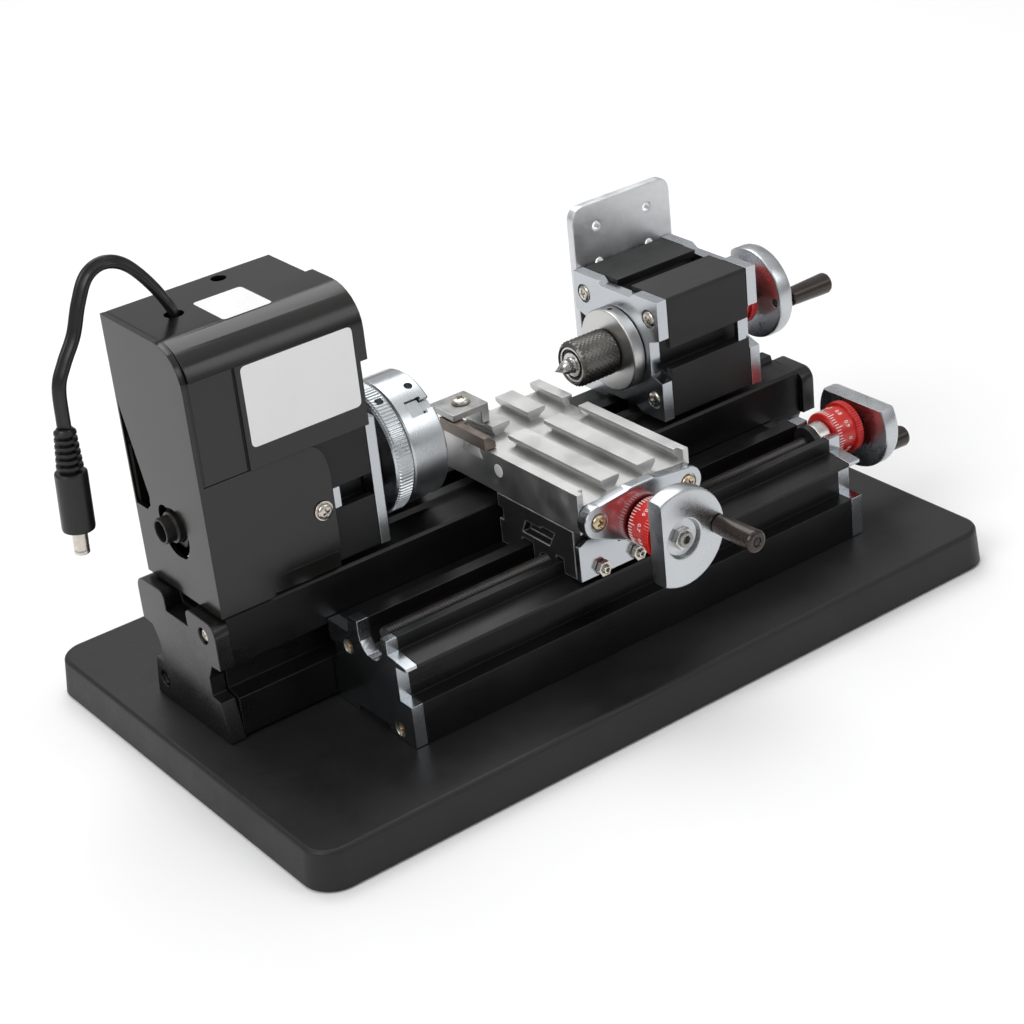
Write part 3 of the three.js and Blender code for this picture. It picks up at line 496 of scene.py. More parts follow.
def refined(node, finish, edge, cuts=()):
    """A CAD node's shape with rounded edges and its own screw holes."""
    bm = from_cad(node)
    if cuts:
        bm = carved(bm, cuts)
        bmesh.ops.remove_doubles(bm, verts=bm.verts, dist=1e-4)
    obj = make(f"{node}_fine", bm, BODY_OF[node], finish, [node])
    bevel = obj.modifiers.new("edges", "BEVEL")
    bevel.width, bevel.segments = edge * MM, 2
    bevel.limit_method, bevel.angle_limit = "ANGLE", math.radians(34)
    bevel.use_clamp_overlap = True
    even_normals(obj)


def tapered_bar(width, length, deep, low, high):
    """A bar whose lower end is narrower, for the cross in a screw head."""
    bm = block(-length, length, -width, width, low, high)
    for v in bm.verts:
        if v.co.z < high - 1e-6:
            v.co.x *= deep
            v.co.y *= deep
    return bm


def screw_head(r, height):
    """A pan head with a cross recess, seated at 0 and looking along +Z."""
    profile = [(0, 0), (0, r), (0.34 * height, r), (0.6 * height, 0.94 * r),
               (0.82 * height, 0.78 * r), (0.95 * height, 0.5 * r), (height, 0.2 * r), (height, 0)]
    head = turned(Z, (0, 0), rounded(profile, 0.12 * r, loop=False, count=2), 40)
    bars = []
    for turn in (20, 110):
        bar = tapered_bar(0.15 * r, 0.62 * r, 0.45, 0.3 * height, height * 1.2)
        bars.append(moved(bar, Matrix.Rotation(math.radians(turn), 4, Z.upper())))
    return carved(head, bars)


def screw(name, place, direction, r, height, body, finish="screw", nodes=()):
    """A cross-recessed screw head seated at a place and looking along a direction."""
    make(name, moved(screw_head(r, height), facing(direction, place)), body, finish, nodes)


def hex_nut(r, height, hole):
    return slab(Z, circle(0, 0, r, 6), 0, height, [circle(0, 0, hole, 32)], edge=0.2)


def socket_screw(r, length, socket):
    """A threaded stud along +Z with a hexagon socket in its far end."""
    def root(h):
        return r * (0.84 if 0.4 < h < length - 0.5 else 0.97)
    return socketed(threaded(length - 1.2, 0.5, lambda h: r, root), r, length, 1.2, socket)


# ------------------------------------------------ base and bed
def tray():
    high = span("base_plate")[1]
    corner, draft, crown = 12.0, 1.5, 1.8
    levels = [(0.0, 0.5), (0.5, 0.0), (high.z - crown, draft)]
    for step in range(1, 7):
        t = math.radians(15 * step)
        levels.append((high.z - crown * (1 - math.sin(t)), draft + crown * (1 - math.cos(t))))
    bm = bmesh.new()
    rings = []
    for height, inset in levels:
        r = corner - inset
        x, y = high.x - inset, high.y - inset
        loop = (arc(x - r, y - r, r, 0, 90, 16) + arc(r - x, y - r, r, 90, 180, 16)
                + arc(r - x, r - y, r, 180, 270, 16) + arc(x - r, r - y, r, 270, 360, 16))
        rings.append([bm.verts.new((a, b, height)) for a, b in loop])
    make("base_tray", capped(bm, rings), "frame", "tray", ["base_plate"])


def bed():
    refined("bed_profile", "profile", 0.35)
    upper, lower = (SPINDLE[0] - 19, 58), (SPINDLE[0] + 19, 24)
    for side, out in (("left", -1), ("right", 1)):
        node = f"bed_end_cap_{side}"
        refined(node, "cap", 0.6)
        face = span(node)[0 if out < 0 else 1].x
        for name, (y, z), sunk in (("upper", upper, 2.4), ("lower", lower, 3.6)):
            place = (face - out * sunk, y, z)
            screw(f"{node}_screw_{name}", place, (out, 0, 0), 2.95, 1.9, "frame")


def screwed_plate(node, out, places, sink, seat, head, finish="screw"):
    """An end plate with screw heads sunk in round seats; its face looks along X * out."""
    face = span(node)[0 if out < 0 else 1].x
    ends = sorted((face + out, face - out * sink))
    refined(node, "zinc", 0.4, [slab(X, circle(y, z, *seat), *ends, edge=0) for y, z in places])
    for i, (y, z) in enumerate(places, 1):
        place = (face - out * sink, y, z)
        screw(f"{node}_screw_{i}", place, (out, 0, 0), *head, BODY_OF[node], finish)


def long_slide():
    refined("long_slide_profile", "profile", 0.3)
    places = [(LONG[0] + 15.6, LONG[1] - 8.5), (LONG[0] - 12.9, LONG[1] - 31)]
    for side, out in (("left", -1), ("right", 1)):
        node = f"long_slide_plate_{side}"
        screwed_plate(node, out, places, 2.2, (3.1, 32), (2.75, 1.7), "brassy")
    low, high = span("long_slide_plate_left")
    place = ((low.x + high.x) / 2, high.y, high.z - 12.5)
    screw("long_slide_set_screw", place, (0, 1, 0), 1.9, 2.6, "frame")


tray()
bed()
long_slide()


# ------------------------------------------------ headstock
def t_slot_nut(block_name, x0, x1, tall):
    """The bright nut plate that looks out of a block's front slot, level with the spindle."""
    y = span(block_name)[0].y + 0.2
    outline = rounded(rectangle(x0, x1, SPINDLE[1] - tall / 2, SPINDLE[1] + tall / 2), 0.4)
    make(f"{block_name}_nut", slab(Y, outline, y, y + 2.4, edge=0.25), BODY_OF[block_name], "zinc")


def headstock():
    refined("headstock_block", "stock", 0.4)
    refined("headstock_front_plate", "zinc", 0.4)
    refined("motor_plate", "zinc", 0.4)
    left = span("headstock_block")[0].x
    t_slot_nut("headstock_block", left + 25.5, left + 29, 8.4)
    for name in ("front", "rear"):
        bearing(f"spindle_bearing_{name}")


def bearing(node):
    """A shielded ball bearing: two races with a shield let in between them."""
    low, high = span(node)
    outer, inner = (high.z - low.z) / 2, 6.3
    a, b = low.x, high.x
    mid = (outer + inner) / 2
    profile = [(a, inner), (a, inner + 1.4), (a + 0.5, inner + 1.7), (a + 0.5, mid + 2.0),
               (a, mid + 2.3), (a, outer), (b, outer), (b, mid + 2.3), (b - 0.5, mid + 2.0),
               (b - 0.5, inner + 1.7), (b, inner + 1.4), (b, inner), (a, inner)]
    make(f"{node}_fine", turned(X, SPINDLE, profile, 64), "frame", "steel", [node])


def covers():
    refined("belt_cover", "plastic", 0.25)
    refined("motor_cover", "plastic", 0.25)
    low, high = span("motor_cover")
    front = rounded(rectangle(low.x + 19.6, low.x + 64.9, low.z + 8.1, low.z + 38.6), 2.2, count=5)
    make("front_label", slab(Y, front, low.y - 0.06, low.y + 0.1, edge=0.03), "frame", "label")
    top = rounded(rectangle(low.x + 24.1, low.x + 43.8, SPINDLE[0] - 14.6, SPINDLE[0] + 7), 1.6,
                  count=5)
    make("top_label", slab(Z, top, high.z - 0.1, high.z + 0.06, edge=0.03), "frame", "label")
    place = middle("cover_screw")
    seat = span("cover_screw")[0].y + 2.4
    back, front = seat - 0.05, seat - 0.75
    ring = rounded([(back, 0), (back, 3.8), (front, 3.8), (front, 0)], 0.25, False)
    washer = turned(Y, (place.x, place.z), ring, 48)
    make("cover_screw_washer", washer, "frame", "screw")
    screw("cover_screw_head", (place.x, seat - 0.7, place.z), (0, -1, 0), 3.1, 1.7, "frame",
          nodes=["cover_screw"])


def drive():
    """Motor, toothed pulleys and belt behind the covers."""
    low, high = span("motor_body")
    centre = tuple(middle("motor_body").yz)
    r = (high.z - low.z) / 2
    can = turned(X, centre, rounded([
        (low.x, 0), (low.x, 6), (low.x + 0.8, 6.4), (low.x + 0.8, r - 1), (low.x + 1.6, r),
        (low.x + 7, r), (low.x + 7.3, r - 0.4), (low.x + 7.8, r), (high.x - 2, r),
        (high.x, r - 2), (high.x, 0)], 0.5, False), 96)
    make("motor_can", can, "frame", "steel", ["motor_body"])
    low, high = span("motor_pulley")
    rim = (high.z - low.z) / 2
    toothed_pulley("motor_pulley", low.x, low.x + 10, rim, rim - 2, centre, "motor_rotor", 24)
    low, high = span("spindle_pulley")
    rim = (high.z - low.z) / 2
    toothed_pulley("spindle_pulley", low.x, high.x, rim, rim - 2.5, SPINDLE, "spindle", 76)
    belt(centre)


def toothed_pulley(node, left, right, rim, groove, centre, body, teeth):
    lip = 1.6
    bore = 1.0 if body == "motor_rotor" else 6.3
    count = teeth * 2

    def tooth(i, j, r):
        return r - (0.45 if abs(r - groove) < 0.01 and i % 2 else 0)
    profile = [(left, bore), (left, rim), (left + lip * 0.7, rim), (left + lip, groove),
               (right - lip, groove), (right - lip * 0.7, rim), (right, rim), (right, bore),
               (left, bore)]
    make(f"{node}_fine", turned(X, centre, profile, count, tooth), body, "blued", [node])
    if body == "motor_rotor":
        end = span(node)[1].x
        shaft = turned(X, centre, rounded([(left - 1.5, 0), (left - 1.5, 1), (end, 1), (end, 0)],
                                          0.2, False), 32)
        make("motor_shaft", shaft, body, "steel")


def belt(motor):
    """Two arcs and their tangents, with teeth on the inner side."""
    low, high = span("drive_belt")
    big, small = 14.5, 4.6
    rise = motor[1] - SPINDLE[1]
    tilt = math.degrees(math.asin((big - small) / rise))

    def loop(extra, teeth=0.0):
        upper = arc(*motor, small + extra, tilt, 180 - tilt, 24)
        lower = arc(*SPINDLE, big + extra, 180 - tilt, 360 + tilt, 64)
        points = []
        corners = [Vector(p) for p in (*upper, *lower)]
        for a, b in zip(corners, corners[1:] + corners[:1]):
            count = max(1, round((b - a).length / 0.75))
            points += [tuple(a.lerp(b, k / count)) for k in range(count)]
        if not teeth:
            return points
        out = []
        for i, point in enumerate(points):
            across = Vector(points[(i + 1) % len(points)]) - Vector(points[i - 1])
            normal = Vector((-across.y, across.x)).normalized()
            out.append(tuple(Vector(point) + normal * (teeth if i % 4 < 2 else 0)))
        return out
    make("drive_belt_toothed", slab(X, loop(1.5), low.x, high.x, [loop(0.75, 0.4)], edge=0.12),
         "frame", "rubber", ["drive_belt"])


def spindle():
    low, high = span("spindle_shaft")
    nose = span("headstock_front_plate")[1].x + 1.5
    back = span("chuck_scroll_ring")[0].x - GAP
    bore, r, wide = 3.9, 6.0, 15.0
    shoulder, tip = span("belt_cover")[0].x, 4.9
    profile = [(low.x, bore), (low.x, tip), (shoulder, tip), (shoulder, r), (nose, r),
               (nose, wide), (back, wide), (back, 9), (high.x, 9), (high.x, bore)]
    shaft = turned(X, SPINDLE, closed(rounded(profile, 0.4)), 96)
    make("spindle_tube", shaft, "spindle", "blued", ["spindle_shaft"])
    nut = slab(X, rounded(circle(*SPINDLE, 9, 6), 1.0), shoulder + 2.5, shoulder + 7,
               [circle(*SPINDLE, 6.25)], edge=0.4)
    make("spindle_lock_nut", nut, "spindle", "blued")


headstock()
covers()
drive()
spindle()


# ------------------------------------------------ chuck
JAW_ANGLES = (134, 254, 14)         # from +Y towards +Z
RIDGES = 108


def about_spindle(angle):
    """Turns a shape whose outward direction is +Y to an angle in the (y, z) plane."""
    place = Matrix.Translation((0, *SPINDLE))
    return place @ Matrix.Rotation(math.radians(angle), 4, "X")


def pin_hole(x, angle):
    """A radial hole for the chuck's tommy bar."""
    return moved(slab(Y, circle(x, 0, 1.65, 24), 19, 30, edge=0), about_spindle(angle))


def chuck():
    low, high = span("chuck_body")
    r = (high.z - low.z) / 2
    front, split = high.x, low.x
    face = [(split, 8), (split, r - 0.6), (split + 0.6, r), (front - 0.9, r),
            (front - 0.2, r - 0.5), (front, r - 1.2), (front, 13), (front - 0.3, 12.6),
            (front - 0.3, 9), (front - 0.9, 8), (split, 8)]
    tongue, neck = (front - 10.5, front - 3.6, 3.5), (front - 4.2, front + 1, 2.2)
    tools = []
    for angle in JAW_ANGLES:
        for x0, x1, wide in (tongue, neck):
            tools.append(moved(block(x0, x1, 6, 30, -wide, wide), about_spindle(angle)))
        tools.append(pin_hole(front - 4.4, angle - 22))
    body = carved(turned(X, SPINDLE, face, 168), tools)
    make("chuck_body_fine", body, "spindle", "chuck", ["chuck_body"])
    for i in range(1, 4):
        refined(f"chuck_jaw_{i}", "chuck", 0.25)


def scroll_ring():
    low, high = span("chuck_scroll_ring")
    r = (high.z - low.z) / 2
    a, b = low.x, high.x
    profile = [(a, 9.3), (a, r - 1.6), (a + 0.7, r - 0.75), (a + 1.1, r - 0.4), (a + 1.4, r),
               (b - 1.2, r), (b - 0.9, r - 0.4), (b - 0.5, r - 0.7), (b, r - 1.1), (b, 9.3),
               (a, 9.3)]

    def ridge(i, j, radius):
        top = abs(radius - r) < 0.01 or abs(radius - (r - 0.4)) < 0.01
        return radius - (0.55 if top and i % 4 in (0, 3) else 0)
    ring = turned(X, SPINDLE, profile, RIDGES * 4, ridge)
    ring = carved(ring, [pin_hole(a + 4.4, angle) for angle in (117, 237, 357)])
    make("chuck_scroll_ring_fine", ring, "scroll_ring", "ridged", ["chuck_scroll_ring"], sharp=25)


chuck()
scroll_ring()


# ------------------------------------------------ cranks
# Each is built along +X from the wheel's inner face, with its pin on the -Y side.
THROW = 16.0          # from the axis of a crank to its pin
CRANKS = {
    "long": Matrix.Rotation(math.radians(90), 4, "X"),
    "tail": Matrix.Identity(4),
    "cross": Matrix.Rotation(math.radians(-90), 4, "Z") @ Matrix.Rotation(math.pi, 4, "X"),
}
CENTRES = {
    "long": lambda x: (x, *LONG),
    "tail": lambda x: (x, *SPINDLE),
    "cross": lambda y: (CROSS[0], y, CROSS[1]),
}


def start(kind, node):
    """The station where a node of a crank begins, counted outwards from its plate."""
    low, high = span(node)
    return high.y if kind == "cross" else low.x


def onto(kind, node):
    return Matrix.Translation(CENTRES[kind](start(kind, node))) @ CRANKS[kind]


def hand_wheel(kind):
    """A dished disc with one side cut flat and a nut in its hub."""
    node = f"{kind}_handwheel"
    r, thick, flat = 19.3, 7.4, 9.7
    profile = [(0, 3.3), (0, r - 1.2), (0.35, r - 0.35), (1.2, r), (thick - 1.5, r),
               (thick - 0.45, r - 0.45), (thick, r - 1.5), (thick, 8.3), (thick - 0.3, 7.7),
               (thick - 2.2, 7.0), (thick - 2.4, 6.4), (thick - 2.4, 3.3), (0, 3.3)]
    cuts = [block(-1, thick + 1, flat, r + 1, -r - 1, r + 1),
            slab(X, circle(-THROW, 0, 1.8, 24), -1, thick + 1, edge=0)]
    wheel = carved(turned(X, (0, 0), profile, 144), cuts)
    make(f"{node}_fine", moved(wheel, onto(kind, node)), f"{kind}_screw", "wheel", [node])
    nut = moved(hex_nut(4.3, 2.6, 2.9), facing((1, 0, 0), (thick - 2.35, 0, 0)))
    make(f"{kind}_wheel_nut", moved(nut, onto(kind, node)), f"{kind}_screw", "steel")


def handle(kind):
    """A tapering grip on its pin, which stands off the wheel's face."""
    node = f"{kind}_handle"
    wheel = f"{kind}_handwheel"
    first, length, r = 7.7, 20.5, 4.4
    end = first + length
    profile = [(1, 0), (1, 1.5), (first, 1.5), (first, r - 0.9), (first + 0.5, r - 0.6),
               (end - 1.2, r), (end - 0.3, r - 0.35), (end, r - 1), (end, 1.9), (end - 0.7, 1.7),
               (end - 0.7, 0)]
    grip = turned(X, (-THROW, 0), rounded(profile, 0.2, False, 2), 64)
    make(f"{node}_fine", moved(grip, onto(kind, wheel)), f"{kind}_grip", "handle", [node])
    socket = slab(X, circle(-THROW, 0, 1.45, 6), end - 0.75, end - 0.2, edge=0.08)
    make(f"{kind}_handle_pin", moved(socket, onto(kind, wheel)), f"{kind}_grip", "blued")


def dial(kind):
    """A drum with a knurled rim, marked from 0 to 0.9 in steps of 0.02."""
    node = f"{kind}_dial"
    length, r = 12.6, 10.7
    band = r - 1.2
    profile = [(0, 3.6), (0, band - 0.5), (0.4, band - 0.15), (length - 3.2, band),
               (length - 3, band + 0.1), (length - 3, r - 0.2), (length - 2.8, r),
               (length - 0.3, r), (length, r - 0.3), (length, 3.6), (0, 3.6)]

    def knurl(i, j, radius):
        return radius - (0.3 if abs(radius - r) < 0.01 and i % 3 == 0 else 0)
    body = turned(X, (0, 0), profile, 180, knurl)
    make(f"{node}_fine", moved(body, onto(kind, node)), f"{kind}_screw", "red", [node])
    marks, divisions, numbers = [], 50, 10
    for i in range(divisions):
        end = 2.4 if i % (divisions // numbers) else 3.6
        mark = block(0.5, end, -0.14, 0.14, band - 0.3, band + 0.07)
        marks.append(moved(mark, Matrix.Rotation(math.tau * i / divisions, 4, "X")))
    for i in range(numbers):
        marks.append(numeral(f"0.{i}" if i else "0", band, 5.0, math.tau * i / numbers))
    make(f"{kind}_dial_marks", moved(joined(marks), onto(kind, node)), f"{kind}_screw", "marks")


def numeral(text, radius, station, angle):
    """A number bent round a drum about the X axis, its baseline along the circumference."""
    curve = bpy.data.curves.new("number", "FONT")
    curve.body, curve.size, curve.extrude = text, 2.5, 0.1
    curve.align_x, curve.align_y = "CENTER", "BOTTOM"
    curve.resolution_u = 2
    bm = as_solid(linked("number", curve))
    for v in bm.verts:
        turn = angle + v.co.x / radius
        out = radius + v.co.z * 0.7
        v.co = (station + v.co.y, -out * math.sin(turn), out * math.cos(turn))
    bmesh.ops.remove_doubles(bm, verts=bm.verts, dist=1e-4)
    bmesh.ops.recalc_face_normals(bm, faces=bm.faces)
    return bm


def lead_screw(kind):
    """A 1 mm pitch thread with a plain end that carries dial and wheel."""
    node = f"{kind}_leadscrew"
    low, high = span(node)
    r, pitch, deep = 3.0, 1.0, 1.63
    plain = {"long": 36.0, "cross": 26.0, "tail": 29.0}[kind]
    first = start(kind, node)
    length = high.y - low.y if kind == "cross" else high.x - low.x

    def crest(h):
        return r - 0.35 if h < 0.3 else r

    def root(h):
        return crest(h) - (0.0 if length - plain < h < length - 4.5 else 0.5)
    thread = socketed(threaded(length - deep, pitch, crest, root), r, length, deep, 1.7)
    direction = (0, -1, 0) if kind == "cross" else (1, 0, 0)
    centre = CENTRES[kind](first)
    # The long screw gets the dark blued finish: partly its own black oxide, partly painted shade
    # for the shadow it lies in down the slot.
    finish = "blued" if kind == "long" else "thread"
    make(f"{node}_fine", moved(thread, facing(direction, centre)), f"{kind}_screw", finish, [node])


for crank in CRANKS:
    hand_wheel(crank)
    handle(crank)
    dial(crank)
    lead_screw(crank)


def screw_collar():
    """The long screw's bearing collar in the notch of the right plate, with a black inner half."""
    low, high = span("long_slide_plate_right")
    for name, finish, first, last in (("inner", "blued", low.x - 2.8, low.x + 0.2),
                                      ("outer", "steel", low.x + 0.2, high.x + 0.6)):
        loop = rounded([(first, 3.05), (first, 6.8), (last, 6.8), (last, 3.05)], 0.5)
        make(f"long_screw_collar_{name}", turned(X, LONG, closed(loop), 64), "long_screw", finish)


screw_collar()


# ------------------------------------------------ saddle and cross slide
def saddle():
    refined("saddle", "saddle", 0.25)
    refined("saddle_front_plate", "zinc", 0.3)
    for i in (1, 2):
        node = f"gib_screw_{i}"
        low, high = span(node)
        x, z = middle(node).xz
        seat = span("saddle_front_plate")[0].y - GAP
        nut = moved(hex_nut(3.2, 2.2, 1.7), facing((0, -1, 0), (x, seat, z)))
        make(f"{node}_nut", nut, "carriage", "screw", [node])
        stud = moved(socket_screw(1.6, high.y - low.y, 0.85), facing((0, -1, 0), (x, high.y, z)))
        make(f"{node}_stud", stud, "carriage", "screw")


def cross_slide():
    pin = (span("cross_table")[0].x, SPINDLE[0] - 30, span("cross_table")[1].z - 6.3)
    refined("cross_table", "table", 0.25)
    # The plug's bright disc is a painted reflection, and the dark blued rim around it is painted
    # shade at the edge of its hole.
    for name, finish, r, out in (("rim", "blued", 3.15, 0.03), ("plug", "pin", 2.75, 0.15)):
        face = pin[0] - out
        disc = turned(X, pin[1:], rounded([(face + 0.8, 0), (face + 0.8, r), (face, r), (face, 0)],
                                          0.3, False), 40)
        make(f"cross_table_{name}", disc, "cross_slide", finish)
    low, high = span("cross_flange")
    lobe, lobe_z, lobe_r = 21.0, CROSS[1] + 7, 6.4
    turns = [math.radians(t) for t in range(215, 326, 10)]
    belly = [(CROSS[0] + 11 * math.cos(t), CROSS[1] + 9 * math.sin(t)) for t in turns]
    outline = (arc(CROSS[0] - lobe, lobe_z, lobe_r, 80, 250, 20) + belly
               + arc(CROSS[0] + lobe, lobe_z, lobe_r, -70, 100, 20)
               + arc(CROSS[0] + 5, high.z - 4, 4, 60, 90, 4)
               + arc(CROSS[0] - 5, high.z - 4, 4, 90, 120, 4))
    sinks = [turned(Y, (CROSS[0] + side * lobe, lobe_z),
                    [(low.y - 1, 0), (low.y - 1, 3.7), (low.y + 0.7, 3.7), (low.y + 0.7, 0)], 48)
             for side in (-1, 1)]
    plate = carved(slab(Y, outline, low.y, high.y, [circle(*CROSS, 3.3)], edge=0.6), sinks)
    make("cross_flange_fine", plate, "cross_slide", "zinc", ["cross_flange"])
    for name, side in (("left", -1), ("right", 1)):
        place = (CROSS[0] + side * lobe, low.y + 0.75, lobe_z)
        screw(f"flange_screw_{name}_head", place, (0, -1, 0), 3.1, 2.0, "cross_slide", "brassy",
              [f"flange_screw_{name}"])


def ground(direction, place):
    """What a flat grind takes off: all that lies beyond a plane through a place."""
    return moved(block(-10, 10, -10, 10, 0, 10), facing(direction, place))


def tooling():
    refined("tool_clamp", "clamp", 0.3)
    low, high = span("tool_bit")
    heel = ground((23.4, -8.3, 28.8), (high.x, low.y + 9, high.z))
    tip = ground((0.3, 1, -0.15), (low.x, high.y, high.z))
    refined("tool_bit", "tool", 0.12, [heel, tip])
    place = middle("tool_clamp_screw")
    seat = span("tool_clamp")[1].z
    screw("tool_clamp_screw_head", (place.x, place.y, seat + 0.05), (0, 0, 1), 3.7, 2.1,
          "cross_slide", nodes=["tool_clamp_screw"])


saddle()
cross_slide()
tooling()


# ------------------------------------------------ tailstock
def tailstock():
    refined("tailstock_body", "stock", 0.4)
    places = [(SPINDLE[0] + y, SPINDLE[1] + z) for y in (-20, 20) for z in (-17, 17)]
    for side, out in (("front", -1), ("rear", 1)):
        screwed_plate(f"tailstock_{side}_plate", out, places, 1.1, (3.9, 36), (3.3, 1.9))
    right = span("tailstock_body")[1].x
    t_slot_nut("tailstock_body", right - 5.3, right - 1.2, 9.2)


def guard_plate():
    low, high = span("tailstock_guard_plate")
    outline = rounded(rectangle(low.x, high.x, low.z, high.z), 6.5, count=8)
    columns, rows = (11.8, 37.8), (8, 23.5, 49.5, 65)
    holes = [circle(low.x + a, low.z + b, 2.0, 24) for a in columns for b in rows]
    plate = slab(Y, outline, low.y, high.y, holes, edge=0.5)
    make("tailstock_guard_plate_fine", plate, "tailstock", "guard", ["tailstock_guard_plate"])


def quill():
    low, high = span("tailstock_flange")
    r = (high.z - low.z) / 2
    profile = rounded([(low.x, 8.3), (low.x, r), (high.x, r), (high.x, 8.3)], 0.6)
    disc = turned(X, SPINDLE, closed(profile), 128)
    disc = carved(disc, [moved(slab(Z, circle((low.x + high.x) / 2, 0, 1.2, 24), 10, 20, edge=0),
                               Matrix.Translation((0, *SPINDLE)))])
    make("tailstock_flange_fine", disc, "tailstock", "disc", ["tailstock_flange"])
    low, high = span("tailstock_quill")
    profile = rounded([(low.x, 3.3), (low.x, 8), (high.x, 8), (high.x, 3.3)], 0.5)
    # The quill gets the dark blued finish so that it reads as the shadow on the disc beside the
    # collar: painted shade.
    make("tailstock_quill_fine", turned(X, SPINDLE, closed(profile), 96), "quill", "blued",
         ["tailstock_quill"])


def centre():
    """Knurled collar, its bearing rings and the live centre."""
    low, high = span("centre_collar")
    r = (high.z - low.z) / 2
    rows = 30
    first, last = low.x + 1.5, high.x - 1.2
    band = [(first + (last - first) * k / rows, r) for k in range(rows + 1)]
    profile = [(low.x + 0.5, 7.4), (low.x, 7.8), (low.x, r - 1.5), (low.x + 0.8, r - 0.7),
               *band, (high.x - 0.3, r - 0.6), (high.x, r - 1.2), (high.x, 2), (low.x + 7, 2),
               (low.x + 7, 7.4), (low.x + 0.5, 7.4)]
    heights = (0.0, 0.5, 1.0, 0.5)

    def diamond(i, j, radius):
        if abs(radius - r) > 0.01:
            return radius
        return radius - 0.5 * (1 - min(heights[(i + j) % 4], heights[(i - j) % 4]))
    collar_body = turned(X, SPINDLE, profile, 116, diamond)
    make("centre_collar_knurled", collar_body, "quill", "knurl", ["centre_collar"], sharp=60)
    ring = turned(X, SPINDLE, [
        (low.x + 0.7, 6.3), (low.x + 0.5, 6.5), (low.x + 0.5, 7.2), (low.x + 5, 7.2),
        (low.x + 5, 6.3), (low.x + 0.7, 6.3)], 72)
    make("centre_bearing_outer", ring, "quill", "steel")
    shield = turned(X, SPINDLE, [
        (low.x + 1.0, 5.5), (low.x + 1.0, 6.2), (low.x + 5, 6.2), (low.x + 5, 5.5),
        (low.x + 1.0, 5.5)], 72)
    make("centre_bearing_shield", shield, "quill", "blued")
    tip, end = (corner.x for corner in span("live_centre"))
    cone = rounded([(tip, 0), (tip + 5.5, 2.9), (low.x - 0.5, 2.9), (low.x + 0.3, 3.3),
                    (low.x + 0.3, 4.9), (low.x + 0.7, 5.1), (end, 5.1), (end, 0)], 0.15, False, 2)
    make("live_centre_fine", turned(X, SPINDLE, cone, 64), "live_centre", "steel", ["live_centre"])


tailstock()
guard_plate()
quill()
centre()


# ------------------------------------------------ power lead
def swept(points, outline):
    """An outline in the (across, y) plane carried along a curve that lies in an XZ plane."""
    bm = bmesh.new()
    rings = []
    for i, point in enumerate(points):
        ahead = points[min(i + 1, len(points) - 1)] - points[max(i - 1, 0)]
        across = Vector((ahead.z, 0, -ahead.x)).normalized()
        rings.append([bm.verts.new(point + across * a + Vector((0, b, 0))) for a, b in outline])
    return capped(bm, rings)


def smooth_path(points, per_span=10):
    """Catmull-Rom curve through points."""
    out = []
    ends = [points[0] * 2 - points[1], *points, points[-1] * 2 - points[-2]]
    for a, b, c, d in zip(ends, ends[1:], ends[2:], ends[3:]):
        for k in range(per_span):
            t = k / per_span
            out.append(0.5 * (2 * b + (c - a) * t + (2 * a - 5 * b + 4 * c - d) * t ** 2
                              + (3 * b - a - 3 * c + d) * t ** 3))
    return out + [points[-1]]


def cover_joint():
    """The belt cover's inner rim, which closes the joint with the motor cover."""
    low, high = span("belt_cover")
    joint = span("motor_cover")[0]
    crown = (1, 154)
    wall = 1.9

    def outline(inset):
        reach = (crown[0] - low.y - inset, high.z - crown[1] - inset)
        bend = [(crown[0] + reach[0] * math.cos(t), crown[1] + reach[1] * math.sin(t))
                for t in (math.radians(90 + 6 * k) for k in range(16))]
        bottom = joint.z + inset
        return [(low.y + inset, bottom), (high.y - inset, bottom),
                (high.y - inset, high.z - inset), *bend]
    rim = slab(X, outline(0.05), low.x + 1.85, joint.x - 0.06, [outline(wall)], edge=0.05)
    make("belt_cover_rim", rim, "frame", "plastic")


def cover_foot():
    """The lower edge of the belt cover's front wall, set a little back."""
    low = span("belt_cover")[0]
    foot = rounded(rectangle(low.x + 22.9, low.x + 51.2, low.z + 0.4, low.z + 7.2), 0.6)
    make("belt_cover_foot", slab(Y, foot, low.y + 0.8, low.y + 1.7), "frame", "plastic")


cover_joint()
cover_foot()


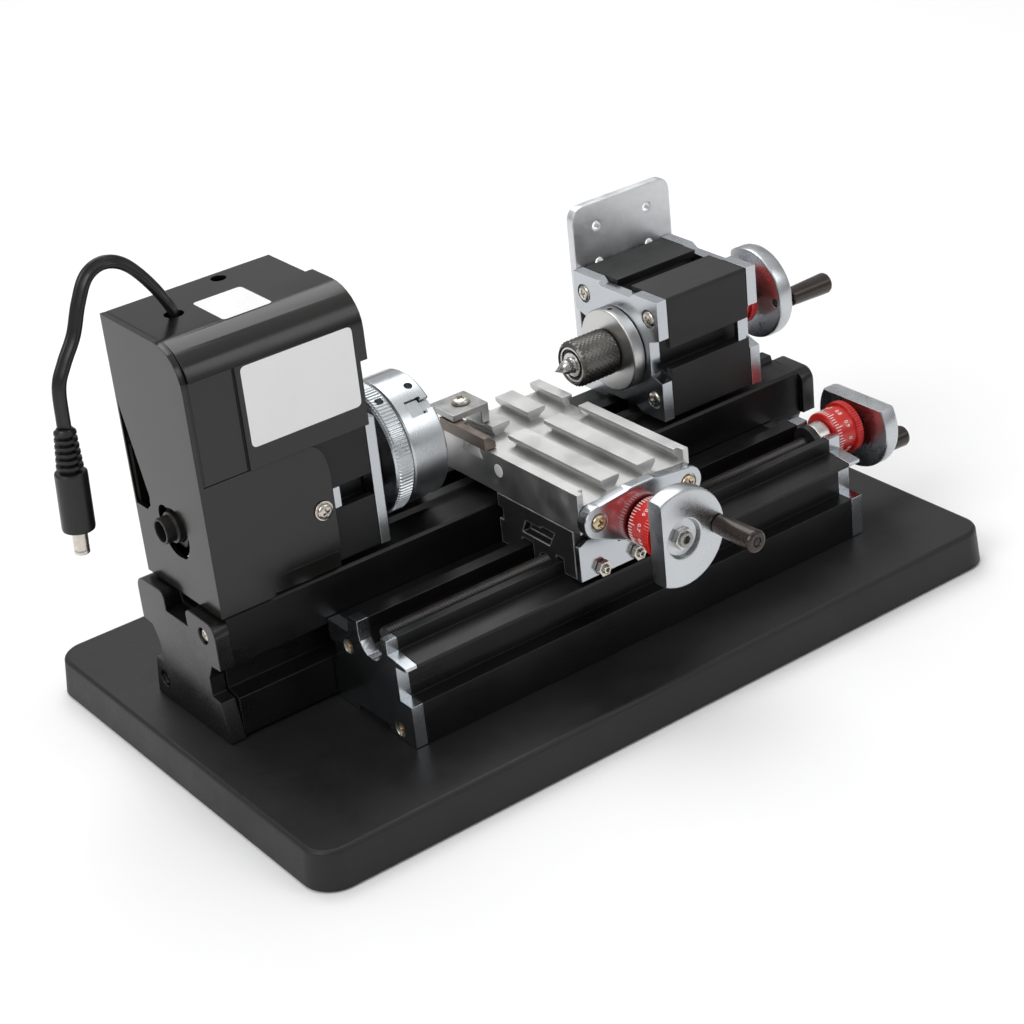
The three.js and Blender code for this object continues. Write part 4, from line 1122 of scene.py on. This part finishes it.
def power_lead():
    y = middle("power_cable").y
    top = span("belt_cover")[1].z
    plug_top = span("plug_body")[1].z
    start_x = span("power_cable")[1].x - 2.4
    plug_x = start_x - 48
    bends = [(0, -8), (0, 0), (-6, 12), (-14.5, 22.6), (-22.5, 26.1), (-29.5, 23.5),
             (-34.2, 15.3), (-38.2, 4.8), (-43.4, -3.7), (-47, -11.7)]
    corners = [(start_x + a, top + b) for a, b in bends] + [(plug_x, plug_top + 0.3)]
    path = smooth_path([Vector((a, y, b)) for a, b in corners])
    strand, apart = 1.35, Vector((0.85, 0.85))
    twin = (arc(*apart, strand, -75, 165, 12) + arc(*-apart, strand, 105, 345, 12))
    make("power_cable_twin", swept(path, twin), "frame", "rubber", ["power_cable"], sharp=50)
    tilt = math.radians(3.1)
    hang = Matrix.Translation((plug_x, y, plug_top + 0.05)) @ Matrix.Rotation(tilt, 4, "Y")
    length = 38.0
    ribs = [(0, 0), (0, 2.9), (-0.5, 3.2)]
    for k in range(6):
        a = -0.9 - k * 2.45
        r = 3.9 + 0.16 * k
        ribs += [(a, r - 0.15), (a - 0.15, r), (a - 1.05, r + 0.1), (a - 1.2, r - 0.1),
                 (a - 1.25, r - 1.5), (a - 2.4, r - 1.5)]
    body = ribs + [(-15.8, 4.9), (-16.4, 5.7), (-17.2, 5.8), (1 - length, 5.9),
                   (0.2 - length, 5.7), (-length, 5.2), (-length, 2.8), (0.6 - length, 2.8),
                   (0.6 - length, 0)]
    make("plug_grip", moved(turned(Z, (0, 0), body, 64), hang), "frame", "rubber", ["plug_body"])
    r, end = 2.75, -length - 9.3
    tip = [(1.2 - length, 0), (1.2 - length, 2.5), (-length - 0.2, 2.5), (-length - 0.3, r),
           (end + 1.9, r), (end + 1.7, r - 0.15), (end + 1.4, r), (end + 0.35, r), (end, r - 0.4),
           (end, 1.25), (end + 8, 1.25), (end + 8, 0)]
    make("plug_barrel", moved(turned(Z, (0, 0), tip, 48), hang), "frame", "screw", ["plug_tip"])


power_lead()


# ------------------------------------------------ stage
def studio():
    """A room that is dark at the horizon, with a pale band above it and a white zenith.

    Rays from the camera see a plain pale backdrop instead."""
    world = bpy.data.worlds.new("studio")
    room = Graph(world)
    place = room.add("ShaderNodeTexCoord").outputs["Generated"]
    height = room.add("ShaderNodeSeparateXYZ", {0: place}).outputs["Z"]
    ramp = room.add("ShaderNodeValToRGB", {0: height})
    stops = ramp.color_ramp.elements
    for position, grey in ((0.0, 0.07), (0.25, 0.62), (0.6, 0.3)):
        stop = stops.new(position) if position else stops[0]
        stop.color = (grey, grey, grey * 1.02, 1)
    lit = room.feed(room.tree.nodes["Background"], {"Color": ramp.outputs[0], "Strength": 1.0})
    backdrop = room.add("ShaderNodeBackground", {"Color": (0.9, 0.9, 0.9, 1)})
    camera_ray = room.add("ShaderNodeLightPath").outputs["Is Camera Ray"]
    seen = room.add("ShaderNodeMixShader",
                    {0: camera_ray, 1: lit.outputs[0], 2: backdrop.outputs[0]})
    room.feed(room.tree.nodes["World Output"], {"Surface": seen.outputs[0]})
    bpy.context.scene.world = world


def stage():
    bpy.ops.mesh.primitive_plane_add(size=12, location=(0, 0, -0.0005))
    floor = bpy.context.object
    floor.name = "floor"
    paint = Surface("floor")
    paint.feed(paint.shader, {"Base Color": (0.9, 0.9, 0.9, 1), "Roughness": 0.8})
    floor.data.materials.append(paint.material)
    studio()
    aim = Vector((0, 0, 0.06))
    lights = [("key", (-1.5, -0.3, 1.3), 1.1, 15), ("top", (0.3, 0.8, 1.5), 1.3, 13),
              ("fill", (0.9, -1.3, 1.2), 0.8, 4)]
    for name, place, size, power in lights:
        light = bpy.data.lights.new(name, "AREA")
        light.size, light.energy = size, power
        obj = linked(name, light)
        obj.location = place
        obj.rotation_euler = (aim - Vector(place)).to_track_quat("-Z", "Y").to_euler()
    camera = bpy.data.cameras.new("camera")
    camera.lens, camera.sensor_width = 84.92, 36
    eye, look = Vector((-0.4641, -0.6850, 0.4807)), Vector((0.0516, 0.0796, 0))
    obj = linked("camera", camera)
    turn = (look - eye).to_track_quat("-Z", "Y").to_matrix().to_4x4()
    roll = Matrix.Rotation(math.radians(-6.319), 4, "Z")
    obj.matrix_world = Matrix.Translation(eye) @ turn @ roll
    bpy.context.scene.camera = obj
    bpy.context.scene.view_settings.view_transform = "Standard"


stage()
